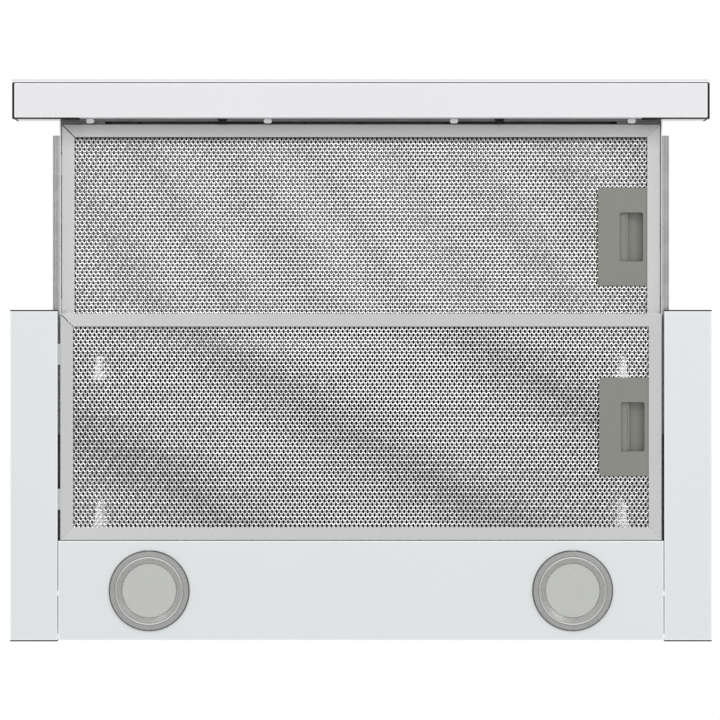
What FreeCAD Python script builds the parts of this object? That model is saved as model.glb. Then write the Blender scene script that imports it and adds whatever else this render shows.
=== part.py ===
import FreeCAD, Part
import math
import os

# Telescopic under-cabinet range hood, modelled with its visor pulled out. Millimetres.
# +Z is up and the hood's front looks along -Y. +X is to the right of someone lying below it with
# the front towards the top of their view. The origin is on the cabinet's underside, in the middle
# of the fixed body. One STEP file is written for each piece, or for each set of like pieces.

V = FreeCAD.Vector

# ---------------------------------------------------------------- driving dimensions
BODY_WIDTH = 600.0
BODY_DEPTH = 283.4
TRAY_HEIGHT = 46.0          # how far the hood hangs below the cabinet
SHEET = 1.0                 # steel sheet of the body
STRIP_WIDTH = 40.5          # painted strip seen beside the filters
BUFFER = 1.1                # rubber on the strips' ends
LAMP_PANEL_DEPTH = 84.8
PANEL_GAP = 0.7             # shadow line between panel and strips

FILTER_LENGTH = 514.6
FILTER_DEPTH = 193.8
FILTER_HEIGHT = 9.0
FILTER_BAR = 11.0
FRAME_SHEET = 0.8
FILTER_STEP = 10.0          # the visor's filter runs this far above the body's filter

VISOR_TRAVEL = 163.0
STOP_GAP = 0.3              # left between the closed fascia and the buffers
FASCIA_WIDTH = 596.8
FASCIA_DEPTH = 33.9
FASCIA_HEIGHT = 31.0
FRONT_PLATE = 3.6
END_CAP = 2.1

CONTROL_HEIGHT = 13.0
BUTTON_WIDTH = 16.0
BUTTON_HEIGHT = 7.0
BUTTON_TRAVEL = 2.0
BUTTON_PITCH = 25.0
FIRST_BUTTON_X = 145.0

LAMP_X = 181.0
LAMP_Y = 98.3
BEZEL_R = 34.6
RIDGE_R = 28.5
LENS_R = 23.4

HOUSING_WIDTH = 500.0
HOUSING_DEPTH = 250.0
HOUSING_HEIGHT = 135.0
COLLAR_R = 59.5             # takes a 120 mm duct
COLLAR_LENGTH = 30.0
IMPELLER_R = 48.0
IMPELLER_HALF = 49.0
SCROLL_HALF = 58.0
BLADES = 36

SCREW_X = 266.0             # cabinet screws
SCREW_Y = 105.0
SCREW_HOLE_R = 2.25

# ---------------------------------------------------------------- worked out from them
HALF = BODY_WIDTH / 2
BOTTOM = -TRAY_HEIGHT
TRAY_Y = BODY_DEPTH / 2 - BUFFER
STRIP_X = HALF - STRIP_WIDTH
PANEL_FRONT = TRAY_Y - LAMP_PANEL_DEPTH
REAR_FILTER_Y = PANEL_FRONT - 0.6 - FILTER_DEPTH / 2
REAR_FILTER_Z = BOTTOM + 1.0
FASCIA_REAR = -BODY_DEPTH / 2 - STOP_GAP - VISOR_TRAVEL - 1.2
FRONT_FILTER_Y = REAR_FILTER_Y - VISOR_TRAVEL
FRONT_FILTER_Z = REAR_FILTER_Z + FILTER_STEP
FILTER_X = FILTER_LENGTH / 2
VISOR_BOTTOM = FRONT_FILTER_Z - 1.0
VISOR_TOP = -CONTROL_HEIGHT - 4.0
WALL_X = FILTER_X + 0.6     # inner face of the visor's side walls
RAIL_X = WALL_X + SHEET     # inner face of the moving rails
VISOR_REAR = -35.0          # rear end of walls and moving rails
RAIL_MID_Z = (BOTTOM + VISOR_TOP) / 2 + 1.5
CHANNEL_X = 268.6           # inner wall of the body's side channels
ROOF = HOUSING_HEIGHT


# ---------------------------------------------------------------- helpers
def box(x0, x1, y0, y1, z0, z1):
    return Part.makeBox(x1 - x0, y1 - y0, z1 - z0, V(x0, y0, z0))


def rod(radius, start, end):
    """A round bar from one point to another."""
    way = V(*end) - V(*start)
    return Part.makeCylinder(radius, way.Length, V(*start), way)


def tube(outer, inner, start, end):
    return rod(outer, start, end).cut(rod(inner, start, end))


def joined(shapes):
    whole = shapes[0]
    if len(shapes) > 1:
        whole = whole.multiFuse(shapes[1:])
    return whole.removeSplitter()


def mirrored(shape):
    """The same piece on the other side of the hood."""
    return shape.mirror(V(0, 0, 0), V(1, 0, 0))


def moved(shape, x, y, z):
    copy = shape.copy()
    copy.translate(V(x, y, z))
    return copy


def edges_along(shape, axis, test=lambda point: True):
    """Straight edges parallel to an axis whose middle passes the test."""
    found = []
    for edge in shape.Edges:
        if len(edge.Vertexes) != 2:
            continue
        way = edge.Vertexes[1].Point - edge.Vertexes[0].Point
        middle = edge.CenterOfMass
        if way.Length > 0 and abs(way.dot(axis)) > 0.999 * way.Length and test(middle):
            found.append(edge)
    return found


def rounded_box(x0, x1, y0, y1, z0, z1, radius, axis):
    """A box with the four edges along one axis rounded."""
    shape = box(x0, x1, y0, y1, z0, z1)
    return shape.makeFillet(radius, edges_along(shape, axis))


def revolved(points, centre, axis):
    """A ring turned from a closed outline of (radius, height) points."""
    corners = [V(centre[0] + r, centre[1], z) for r, z in points]
    face = Part.Face(Part.makePolygon(corners + corners[:1]))
    return face.revolve(V(*centre), axis, 360)


def spring(radius, wire, length, coils, start, axis):
    """A coil spring whose axis runs from start along axis."""
    helix = Part.makeLongHelix(length / coils, length, radius)
    profile = Part.Wire(Part.Circle(V(radius, 0, 0), V(0, 1, 0), wire).toShape())
    coil = Part.Wire(helix).makePipeShell([profile], True, True)
    coil.Placement = FreeCAD.Placement(V(*start), FreeCAD.Rotation(V(0, 0, 1), axis))
    return coil


def save(name, *shapes):
    """Write a node, as one solid or as a set of separate ones."""
    shape = shapes[0] if len(shapes) == 1 else Part.Compound(list(shapes))
    shape.exportStep("parts/" + name + ".step")


# ---------------------------------------------------------------- fixed body
DECK_OPEN_X = 215.0         # half the size of the deck's opening for the air
DECK_OPEN_Y = 112.0
DECK_OPEN_CORNER = 8.0
FLANGE = 9.0                # housing flange on the deck
FLANGE_SCREW_R = 1.6
FLANGE_SCREW_X = (60.0, 240.0)
BUFFER_HEIGHT = 6.0         # low enough for the rail to pass over it
PANEL_LIP = 6.0             # height of the fold along the lamp panel's front
GUIDE_X = 227.0
GUIDE_Y = (-94.0, 34.0)
GUIDE_FRONT = 3.4           # a guide's width at its front end
GUIDE_REAR = 10.4           # and at its rear end
GUIDE_LENGTH = 25.0


def top_deck():
    """Flat sheet that lies against the cabinet, open in the middle for the air."""
    deck = box(-HALF, HALF, -TRAY_Y, TRAY_Y, -SHEET, 0)
    opening = rounded_box(-DECK_OPEN_X, DECK_OPEN_X, -DECK_OPEN_Y, DECK_OPEN_Y, -2, 1,
                          DECK_OPEN_CORNER, V(0, 0, 1))
    deck = deck.cut(opening)
    for x in (-SCREW_X, SCREW_X):
        for y in (-SCREW_Y, SCREW_Y):
            deck = deck.cut(rod(SCREW_HOLE_R, (x, y, -2), (x, y, 1)))
    for x, y in flange_screws():
        deck = deck.cut(rod(FLANGE_SCREW_R, (x, y, -2), (x, y, 1)))
    return deck


def flange_screws():
    """Where the housing's flanges are screwed to the deck."""
    y = HOUSING_DEPTH / 2 + FLANGE / 2
    places = []
    for side_y in (-1, 1):
        for x in FLANGE_SCREW_X:
            places.append((-x, side_y * y))
            places.append((x, side_y * y))
    return places


def side_trim():
    """Right channel: painted strip, outer wall, rail wall and closed ends."""
    strip = box(STRIP_X, HALF, -TRAY_Y, TRAY_Y, BOTTOM, BOTTOM + SHEET)
    outer = box(HALF - SHEET, HALF, -TRAY_Y, TRAY_Y, BOTTOM, -SHEET)
    inner = box(CHANNEL_X, CHANNEL_X + SHEET, -TRAY_Y, TRAY_Y, BOTTOM, -SHEET)
    ends = [
        box(CHANNEL_X, HALF, -TRAY_Y, -TRAY_Y + SHEET, BOTTOM, -SHEET),
        box(CHANNEL_X, HALF, TRAY_Y - SHEET, TRAY_Y, BOTTOM, -SHEET),
    ]
    trim = joined([strip, outer, inner] + ends)
    bend = edges_along(trim, V(0, 1, 0), lambda p: p.x > HALF - 0.1 and p.z < BOTTOM + 0.1)
    return trim.makeFillet(0.8, bend)


def end_buffer():
    """Rubber strip glued to the front end of the right channel."""
    return rounded_box(STRIP_X, HALF, -TRAY_Y - BUFFER, -TRAY_Y, BOTTOM, BOTTOM + BUFFER_HEIGHT,
                       0.4, V(0, 0, 1))


def end_buffers():
    right = end_buffer()
    rear = right.mirror(V(0, 0, 0), V(0, 1, 0))
    return [right, rear, mirrored(right), mirrored(rear)]


def lamp_panel():
    """Rear sheet that carries the lamps, folded up at its front and back."""
    x = STRIP_X - PANEL_GAP
    floor = box(-x, x, PANEL_FRONT, TRAY_Y, BOTTOM, BOTTOM + SHEET)
    lip = box(-x, x, PANEL_FRONT, PANEL_FRONT + SHEET, BOTTOM, BOTTOM + PANEL_LIP)
    back = box(-x, x, TRAY_Y - SHEET, TRAY_Y, BOTTOM, -SHEET)
    panel = joined([floor, lip, back])
    bends = edges_along(panel, V(1, 0, 0), lambda p: p.z < BOTTOM + 0.1)
    panel = panel.makeFillet(0.7, bends)
    hole_r = LAMP_BODY_R + LAMP_CLEAR
    for x in (-LAMP_X, LAMP_X):
        panel = panel.cut(rod(hole_r, (x, LAMP_Y, BOTTOM - 1), (x, LAMP_Y, BOTTOM + 2)))
    return panel


def deck_guide(x, y):
    """Nylon wedge under the deck, narrow at its front, that keeps the visor's cover from rattling."""
    low = VISOR_TOP + SHEET + 1.0
    front = y - GUIDE_LENGTH / 2
    rear = y + GUIDE_LENGTH / 2
    corners = [
        V(x - GUIDE_FRONT / 2, front, low),
        V(x + GUIDE_FRONT / 2, front, low),
        V(x + GUIDE_REAR / 2, rear, low),
        V(x - GUIDE_REAR / 2, rear, low),
    ]
    block = Part.Face(Part.makePolygon(corners + corners[:1])).extrude(V(0, 0, -SHEET - low))
    return block.makeFillet(1.0, edges_along(block, V(0, 0, 1)))


def deck_guides():
    return [deck_guide(x, y) for x in (-GUIDE_X, GUIDE_X) for y in GUIDE_Y]


# ---------------------------------------------------------------- controls
STRIP_FACE = 2.5
BUTTON_PROUD = 1.8
BUTTON_CLEAR = 0.3
BUTTON_FLANGE = 1.2
PLUNGER_R = 2.0
PLUNGER_DEPTH = 6.0         # how far a resting plunger reaches into the switch block
PLUNGER_CLEAR = 0.08        # running fit
SWITCH_END = 14.0           # switch block beyond the first and last button
SWITCH_DEPTH = 14.0
CONTROL_Z = -SHEET - CONTROL_HEIGHT / 2
SWITCH_FRONT = -TRAY_Y + STRIP_FACE + 0.2 + BUTTON_FLANGE + BUTTON_TRAVEL + 0.4
BUTTON_NAMES = ["button_light", "button_speed_1", "button_speed_2", "button_speed_3"]
MICROSWITCH_X = -212.0
MICROSWITCH_Y = -127.0


def button_x(index):
    return FIRST_BUTTON_X + index * BUTTON_PITCH


def button_block(index, y0, y1, grow):
    """The button's rounded outline between two depths, made wider all round by grow."""
    x = button_x(index)
    half = BUTTON_WIDTH / 2 + grow
    tall = BUTTON_HEIGHT / 2 + grow
    return rounded_box(x - half, x + half, y0, y1, CONTROL_Z - tall, CONTROL_Z + tall, 1.5, V(0, 1, 0))


def control_strip():
    """Front bar of the fixed body, above the visor, with a hole for each button."""
    x = CHANNEL_X - 0.3
    strip = box(-x, x, -TRAY_Y, -TRAY_Y + STRIP_FACE, -SHEET - CONTROL_HEIGHT, -SHEET)
    for index in range(len(BUTTON_NAMES)):
        strip = strip.cut(button_block(index, -TRAY_Y - 1, -TRAY_Y + STRIP_FACE + 1, BUTTON_CLEAR))
    return strip


def button(index):
    """Push button: cap, flange behind the strip and plunger into the switch."""
    back = -TRAY_Y + STRIP_FACE
    cap = button_block(index, -TRAY_Y - BUTTON_PROUD, back + 0.2, 0)
    cap = cap.makeFillet(0.6, cap.Faces[front_face(cap)].Edges)
    flange = button_block(index, back + 0.2, back + 0.2 + BUTTON_FLANGE, 1.4)
    x = button_x(index)
    plunger = rod(PLUNGER_R, (x, back + 1, CONTROL_Z), (x, SWITCH_FRONT + PLUNGER_DEPTH, CONTROL_Z))
    return joined([cap, flange, plunger])


def front_face(shape):
    """Number of the face that looks furthest to the front."""
    places = [face.CenterOfMass.y for face in shape.Faces]
    return places.index(min(places))


def switch_block():
    """Switch body behind the buttons, one bore for each plunger."""
    left = button_x(0) - SWITCH_END
    right = button_x(len(BUTTON_NAMES) - 1) + SWITCH_END
    block = box(left, right, SWITCH_FRONT, SWITCH_FRONT + SWITCH_DEPTH, CONTROL_Z - 5.5, -SHEET)
    bottom = SWITCH_FRONT + PLUNGER_DEPTH + BUTTON_TRAVEL + 1
    for index in range(len(BUTTON_NAMES)):
        x = button_x(index)
        bore = rod(PLUNGER_R + PLUNGER_CLEAR, (x, SWITCH_FRONT - 1, CONTROL_Z), (x, bottom, CONTROL_Z))
        block = block.cut(bore)
    return block


def visor_switch():
    """Microswitch that stops the fan when the visor is pushed in."""
    x = MICROSWITCH_X
    y = MICROSWITCH_Y
    low = -SHEET - 11
    body = box(x - 10, x + 10, y - 5, y + 5, low, -SHEET)
    lever = box(x + 8, x + 9, y - 2, y + 12, low - 1.5, low)
    return joined([body, lever])


# ---------------------------------------------------------------- lamps
LAMP_BODY_R = 29.0
LAMP_BODY_TOP = BOTTOM + 14
LAMP_CLEAR = 0.8            # between the lamp body and the panel
LENS_SEAT = 0.6             # how deep the lens sits in the lamp body
FIN_PITCH = 7.0
FIN_GAP = 3.0
FIN_DEPTH = 5.0
FIN_GAPS = 7
CLIP_WIDTH = 8.0
CLIP_SHEET = 0.6
CLIP_REACH = 9.0            # out from the lamp body
CLIP_HEIGHT = 7.0


def lamp_bezel(x):
    """Nickel ring: rolled rim, raised ridge and a cone down to the lens."""
    seat = BOTTOM
    outline = [
        (LENS_R, seat),
        (LENS_R, seat - 0.9),
        (RIDGE_R - 1.2, seat - 2.4),
        (RIDGE_R + 0.4, seat - 2.4),
        (BEZEL_R - 2.5, seat - 1.7),
        (BEZEL_R - 0.6, seat - 1.2),
        (BEZEL_R, seat - 0.5),
        (BEZEL_R, seat),
    ]
    ring = revolved(outline, (x, LAMP_Y, 0), V(0, 0, 1))
    pry_notch = box(x - 3, x + 3, LAMP_Y - BEZEL_R - 1, LAMP_Y - BEZEL_R + 1.2, seat - 0.9, seat + 0.1)
    return ring.cut(pry_notch)


def lamp_lens(x):
    """Frosted disc, slightly domed."""
    disc = rod(LENS_R - 0.1, (x, LAMP_Y, BOTTOM + LENS_SEAT), (x, LAMP_Y, BOTTOM - 0.6))
    return disc.makeFillet(0.5, disc.Faces[lowest_face(disc)].Edges)


def lowest_face(shape):
    heights = [face.CenterOfMass.z for face in shape.Faces]
    return heights.index(min(heights))


def lamp_body(x):
    """Die-cast lamp body with cooling fins, above the panel."""
    can = rod(LAMP_BODY_R, (x, LAMP_Y, BOTTOM), (x, LAMP_Y, LAMP_BODY_TOP))
    can = can.cut(rod(LENS_R, (x, LAMP_Y, BOTTOM - 1), (x, LAMP_Y, BOTTOM + LENS_SEAT)))
    for slot in range(FIN_GAPS):
        y = LAMP_Y + (slot - (FIN_GAPS - 1) / 2) * FIN_PITCH
        gap = box(x - LAMP_BODY_R - 1, x + LAMP_BODY_R + 1, y - FIN_GAP / 2, y + FIN_GAP / 2,
                  LAMP_BODY_TOP - FIN_DEPTH, LAMP_BODY_TOP + 1)
        can = can.cut(gap)
    return can


def lamp_clip(x, side):
    """Leaf spring that pulls the lamp up against the panel."""
    inner = LAMP_BODY_R
    outer = LAMP_BODY_R + CLIP_REACH
    foot = BOTTOM + SHEET
    top = foot + CLIP_HEIGHT
    y0 = LAMP_Y - CLIP_WIDTH / 2
    y1 = LAMP_Y + CLIP_WIDTH / 2
    upright = box(inner, inner + CLIP_SHEET, y0, y1, foot + 1, top)
    arm = box(inner, outer, y0, y1, top - CLIP_SHEET, top)
    leg = box(outer - CLIP_SHEET, outer, y0, y1, foot, top)
    clip = joined([upright, arm, leg])
    if side < 0:
        clip = mirrored(clip)
    return moved(clip, x, 0, 0)


# ---------------------------------------------------------------- housing above the deck
GLAND_X = -200.0
GLAND_Y = 88.0
GLAND_R = 8.0
GLAND_HOLE_R = GLAND_R + 0.3
SCREW_HEAD_R = 3.2
SCREW_HEAD = 2.0
SCREW_LENGTH = 3.5          # below the deck's upper face


def housing_shell():
    """Front, roof and rear of the fan box, folded from one sheet, with flanges on the deck."""
    x = HOUSING_WIDTH / 2 - SHEET
    y = HOUSING_DEPTH / 2
    walls = [
        box(-x, x, -y, -y + SHEET, 0, ROOF),
        box(-x, x, y - SHEET, y, 0, ROOF),
        box(-x, x, -y, y, ROOF - SHEET, ROOF),
        box(-x, x, -y - FLANGE, -y, 0, SHEET),
        box(-x, x, y, y + FLANGE, 0, SHEET),
    ]
    shell = joined(walls)
    shell = shell.cut(rod(COLLAR_R - 2, (0, 0, ROOF - 2), (0, 0, ROOF + 1)))
    shell = shell.cut(rod(GLAND_HOLE_R, (GLAND_X, GLAND_Y, ROOF - 2), (GLAND_X, GLAND_Y, ROOF + 1)))
    for hole_x, hole_y in flange_screws():
        shell = shell.cut(rod(FLANGE_SCREW_R, (hole_x, hole_y, -1), (hole_x, hole_y, 2)))
    return shell


def housing_side():
    """Right end panel of the fan box, with a folded foot on the deck."""
    x = HOUSING_WIDTH / 2
    y = HOUSING_DEPTH / 2
    panel = box(x - SHEET, x, -y, y, 0, ROOF)
    foot = box(x, x + FLANGE, -y, y, 0, SHEET)
    return joined([panel, foot])


def flange_screw_set():
    """Pan-head screws that hold the housing to the deck."""
    screws = []
    for x, y in flange_screws():
        head = rod(SCREW_HEAD_R, (x, y, SHEET), (x, y, SHEET + SCREW_HEAD))
        head = head.makeFillet(0.8, head.Faces[top_face(head)].Edges)
        slot = box(x - 2, x + 2, y - 0.4, y + 0.4, SHEET + 1.2, SHEET + SCREW_HEAD + 1)
        cross = slot.fuse(box(x - 0.4, x + 0.4, y - 2, y + 2, SHEET + 1.2, SHEET + SCREW_HEAD + 1))
        shank = rod(FLANGE_SCREW_R - 0.1, (x, y, -SCREW_LENGTH), (x, y, SHEET + 0.5))
        screws.append(joined([head, shank]).cut(cross))
    return screws


def top_face(shape):
    heights = [face.CenterOfMass.z for face in shape.Faces]
    return heights.index(max(heights))


# ---------------------------------------------------------------- outlet
FLAP_Z = ROOF + 15.0
FLAP_THICK = 1.2
PIN_R = 1.5
KNUCKLE_R = 2.6
COLLAR_WALL = 2.0
KNUCKLES = 6


def outlet_collar():
    """Spigot for the duct, with a screwed foot, a ledge for the flaps and holes for their pin."""
    foot = tube(COLLAR_R + 9, COLLAR_R - COLLAR_WALL, (0, 0, ROOF), (0, 0, ROOF + 2))
    spigot = tube(COLLAR_R, COLLAR_R - COLLAR_WALL, (0, 0, ROOF), (0, 0, ROOF + COLLAR_LENGTH))
    ledge_top = FLAP_Z - FLAP_THICK / 2 - 0.3
    ledge = tube(COLLAR_R - 1, COLLAR_R - COLLAR_WALL - 2.5, (0, 0, ledge_top - 1.5), (0, 0, ledge_top))
    collar = joined([foot, spigot, ledge])
    lead = edges_at(collar, ROOF + COLLAR_LENGTH, COLLAR_R)
    collar = collar.makeChamfer(0.6, lead)
    return collar.cut(rod(PIN_R, (-COLLAR_R + 0.5, 0, FLAP_Z), (COLLAR_R - 0.5, 0, FLAP_Z)))


def edges_at(shape, height, radius):
    """Round edges of one radius at one height."""
    found = []
    for edge in shape.Edges:
        round_edge = isinstance(edge.Curve, Part.Circle) and abs(edge.Curve.Radius - radius) < 0.01
        if round_edge and abs(edge.CenterOfMass.z - height) < 0.01:
            found.append(edge)
    return found


def flap_pin():
    return rod(PIN_R, (-COLLAR_R + 0.6, 0, FLAP_Z), (COLLAR_R - 0.6, 0, FLAP_Z))


def flap(side):
    """Half-round leaf that swings up on the pin; side is -1 for the front one, 1 for the rear."""
    radius = COLLAR_R - COLLAR_WALL - 0.8
    low = FLAP_Z - FLAP_THICK / 2
    disc = rod(radius, (0, 0, low), (0, 0, low + FLAP_THICK))
    keep = box(-radius, radius, KNUCKLE_R + 0.5, radius, low - 1, low + 2)
    if side < 0:
        keep = keep.mirror(V(0, 0, 0), V(0, 1, 0))
    leaf = disc.common(keep)
    pitch = 2 * (radius - 4) / KNUCKLES
    pieces = [leaf]
    for index in range(KNUCKLES):
        if index % 2 == (0 if side < 0 else 1):
            start = -radius + 4 + index * pitch + 0.3
            end = start + pitch - 0.6
            pieces.append(rod(KNUCKLE_R, (start, 0, FLAP_Z), (end, 0, FLAP_Z)))
            pieces.append(box(start, end, min(0, side * 4), max(0, side * 4), low, low + FLAP_THICK))
    bore = rod(PIN_R + 0.08, (-radius, 0, FLAP_Z), (radius, 0, FLAP_Z))
    return joined(pieces).cut(bore)


# ---------------------------------------------------------------- fan
FAN_Y = -7.0
FAN_Z = 64.0
SCROLL_START = 54.0         # spiral radius at the front
SCROLL_END = 68.0           # spiral radius at the rear
SCROLL_WALL = 2.0
INLET_R = 41.0
MOTOR_R = 30.0
MOTOR_LEFT = -56.0
MOTOR_RIGHT = -13.0
SHAFT_R = 3.0


def spiral_outline(inset):
    """Scroll's outline: a spiral under the fan, closed upwards by two straight walls."""
    points = []
    steps = 12
    for step in range(steps + 1):
        angle = math.pi * (1 + step / steps)
        radius = SCROLL_START + (SCROLL_END - SCROLL_START) * step / steps - inset
        points.append(V(0, FAN_Y + radius * math.cos(angle), FAN_Z + radius * math.sin(angle)))
    curve = Part.BSplineCurve()
    curve.interpolate(points)
    top = ROOF - SHEET
    front = V(0, points[0].y, top)
    rear = V(0, points[-1].y, top)
    lines = [
        Part.makeLine(points[-1], rear),
        Part.makeLine(rear, front),
        Part.makeLine(front, points[0]),
    ]
    return Part.Face(Part.Wire([curve.toShape()] + lines))


def scroll_tongue():
    """Wedge that cuts the air off the wheel and turns it up into the outlet."""
    radius = IMPELLER_R + 3.5

    def on_circle(degrees):
        angle = math.radians(degrees)
        return V(0, FAN_Y + radius * math.cos(angle), FAN_Z + radius * math.sin(angle))

    wall = FAN_Y - SCROLL_START + SCROLL_WALL / 2
    foot = on_circle(172)
    tip = on_circle(118)
    low = V(0, wall, foot.z)
    high = V(0, wall, ROOF - 8)
    arc = Part.Arc(foot, on_circle(145), tip).toShape()
    lines = [Part.makeLine(tip, high), Part.makeLine(high, low), Part.makeLine(low, foot)]
    return Part.Face(Part.Wire([arc] + lines)).extrude(V(SCROLL_HALF - SCROLL_WALL, 0, 0))


def scroll_half():
    """Right half of the fan's scroll housing, with its bell-mouthed inlet."""
    outer = spiral_outline(0).extrude(V(SCROLL_HALF, 0, 0))
    cavity = spiral_outline(SCROLL_WALL).extrude(V(SCROLL_HALF - SCROLL_WALL, 0, 0))
    inlet = rod(INLET_R, (SCROLL_HALF - 5, FAN_Y, FAN_Z), (SCROLL_HALF + 5, FAN_Y, FAN_Z))
    mouth = tube(INLET_R + 4, INLET_R, (SCROLL_HALF - 1, FAN_Y, FAN_Z), (SCROLL_HALF + 3, FAN_Y, FAN_Z))
    return joined([outer.cut(cavity), scroll_tongue(), mouth]).cut(inlet)


def blade():
    """One forward-curved blade of the wheel."""
    def place(radius, degrees):
        angle = math.radians(degrees)
        return V(-IMPELLER_HALF, FAN_Y + radius * math.cos(angle), FAN_Z + radius * math.sin(angle))

    inner_r = IMPELLER_R - 10
    middle_r = IMPELLER_R - 5
    front = Part.Arc(place(inner_r, 0), place(middle_r, -2.2), place(IMPELLER_R - 0.6, 1.6)).toShape()
    back = Part.Arc(place(IMPELLER_R - 0.6, 3.0), place(middle_r, -0.6), place(inner_r, 1.6)).toShape()
    tip = Part.makeLine(place(IMPELLER_R - 0.6, 1.6), place(IMPELLER_R - 0.6, 3.0))
    root = Part.makeLine(place(inner_r, 1.6), place(inner_r, 0))
    outline = Part.Wire([front, tip, back, root])
    return Part.Face(outline).extrude(V(2 * IMPELLER_HALF, 0, 0))


def impeller():
    """Double-inlet wheel: blades between two rings and a middle disc with a hub."""
    first = blade()
    pieces = []
    for index in range(BLADES):
        one = first.copy()
        one.rotate(V(0, FAN_Y, FAN_Z), V(1, 0, 0), 360 * index / BLADES)
        pieces.append(one)

    def ring(x0, x1, outer, inner):
        return tube(outer, inner, (x0, FAN_Y, FAN_Z), (x1, FAN_Y, FAN_Z))

    pieces.append(ring(-IMPELLER_HALF, -IMPELLER_HALF + 3, IMPELLER_R, IMPELLER_R - 5))
    pieces.append(ring(IMPELLER_HALF - 3, IMPELLER_HALF, IMPELLER_R, IMPELLER_R - 5))
    pieces.append(ring(-1, 1, IMPELLER_R, SHAFT_R))
    pieces.append(ring(-8, 10, 8, SHAFT_R))
    return joined(pieces)


def motor():
    """Shaded-pole motor can inside the wheel, with a bearing boss."""
    can = rod(MOTOR_R, (MOTOR_LEFT, FAN_Y, FAN_Z), (MOTOR_RIGHT, FAN_Y, FAN_Z))
    can = can.makeFillet(3, can.Edges[0:1] + can.Edges[2:3])
    boss = rod(9, (MOTOR_RIGHT - 1, FAN_Y, FAN_Z), (MOTOR_RIGHT + 4, FAN_Y, FAN_Z))
    bore = rod(SHAFT_R + 0.06, (MOTOR_RIGHT - 20, FAN_Y, FAN_Z), (MOTOR_RIGHT + 5, FAN_Y, FAN_Z))
    return joined([can, boss]).cut(bore)


def motor_shaft():
    return rod(SHAFT_R, (MOTOR_RIGHT - 18, FAN_Y, FAN_Z), (9, FAN_Y, FAN_Z))


def motor_bracket():
    """Three-armed spider that holds the motor from outside the left inlet."""
    x = -SCROLL_HALF - 3
    ring = tube(INLET_R + 8, INLET_R - 1, (x - 2, FAN_Y, FAN_Z), (x, FAN_Y, FAN_Z))
    cup = rod(16, (x - 2, FAN_Y, FAN_Z), (MOTOR_LEFT, FAN_Y, FAN_Z))
    pieces = [ring, cup]
    for index in range(3):
        arm = box(x - 2, x, FAN_Y - 4, FAN_Y + 4, FAN_Z + 12, FAN_Z + INLET_R + 1)
        arm.rotate(V(0, FAN_Y, FAN_Z), V(1, 0, 0), 120 * index)
        pieces.append(arm)
    return joined(pieces)


# ---------------------------------------------------------------- electrics in the housing
CAPACITOR_X = -140.0
CAPACITOR_R = 15.0
CAPACITOR_LOW = 50.0
CAPACITOR_LENGTH = 55.0
TERMINAL_X = 34.0           # half the terminal box's width
TERMINAL_Y = 28.0           # half its depth
TERMINAL_WALL = 2.0
TERMINAL_LOW = ROOF - SHEET - 34
DRIVER_THICK = 20.0
DRIVER_LENGTH = 90.0
DRIVER_HEIGHT = 30.0


def capacitor():
    """Motor capacitor against the rear wall, its tags at the bottom."""
    x = CAPACITOR_X
    y = HOUSING_DEPTH / 2 - SHEET - CAPACITOR_R
    low = CAPACITOR_LOW
    can = rod(CAPACITOR_R, (x, y, low), (x, y, low + CAPACITOR_LENGTH))
    can = can.makeFillet(2, can.Faces[top_face(can)].Edges)
    tags = [box(x + side * 5.5 - 0.5, x + side * 5.5 + 0.5, y - 3, y + 3, low - 8, low) for side in (-1, 1)]
    return joined([can] + tags)


def around_gland(half_x, half_y, z0, z1):
    """A box centred on the gland."""
    return box(GLAND_X - half_x, GLAND_X + half_x, GLAND_Y - half_y, GLAND_Y + half_y, z0, z1)


def terminal_outline(z0, z1):
    block = around_gland(TERMINAL_X, TERMINAL_Y, z0, z1)
    return block.makeFillet(3, edges_along(block, V(0, 0, 1)))


def terminal_box():
    """Mains terminal box under the roof, open below where its lid goes on."""
    shell = terminal_outline(TERMINAL_LOW, ROOF - SHEET)
    hollow = around_gland(TERMINAL_X - TERMINAL_WALL, TERMINAL_Y - TERMINAL_WALL,
                          TERMINAL_LOW - 1, ROOF - SHEET - TERMINAL_WALL)
    way_in = rod(GLAND_HOLE_R, (GLAND_X, GLAND_Y, TERMINAL_LOW), (GLAND_X, GLAND_Y, ROOF))
    return shell.cut(hollow).cut(way_in)


def terminal_lid():
    lid = terminal_outline(TERMINAL_LOW - TERMINAL_WALL, TERMINAL_LOW)
    inset = TERMINAL_WALL + 0.3
    plug = around_gland(TERMINAL_X - inset, TERMINAL_Y - inset, TERMINAL_LOW, TERMINAL_LOW + 2)
    return joined([lid, plug])


def cable_gland():
    """Bush through the roof for the mains lead."""
    neck = rod(GLAND_R, (GLAND_X, GLAND_Y, ROOF - SHEET - 4), (GLAND_X, GLAND_Y, ROOF))
    corners = []
    for index in range(7):
        angle = math.radians(60 * index)
        corners.append(V(GLAND_X + 11 * math.cos(angle), GLAND_Y + 11 * math.sin(angle), ROOF))
    nut = Part.Face(Part.makePolygon(corners)).extrude(V(0, 0, 6))
    cap = Part.makeCone(8.5, 6.5, 9, V(GLAND_X, GLAND_Y, ROOF + 6))
    hole = rod(GLAND_R / 2, (GLAND_X, GLAND_Y, ROOF - 8), (GLAND_X, GLAND_Y, ROOF + 16))
    return joined([neck, nut, cap]).cut(hole)


def led_driver():
    """Lamp supply on the left end panel, below the terminal box."""
    wall = -HOUSING_WIDTH / 2 + SHEET
    return rounded_box(wall, wall + DRIVER_THICK, FAN_Y - DRIVER_LENGTH / 2, FAN_Y + DRIVER_LENGTH / 2,
                       20, 20 + DRIVER_HEIGHT, 2, V(1, 0, 0))


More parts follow.
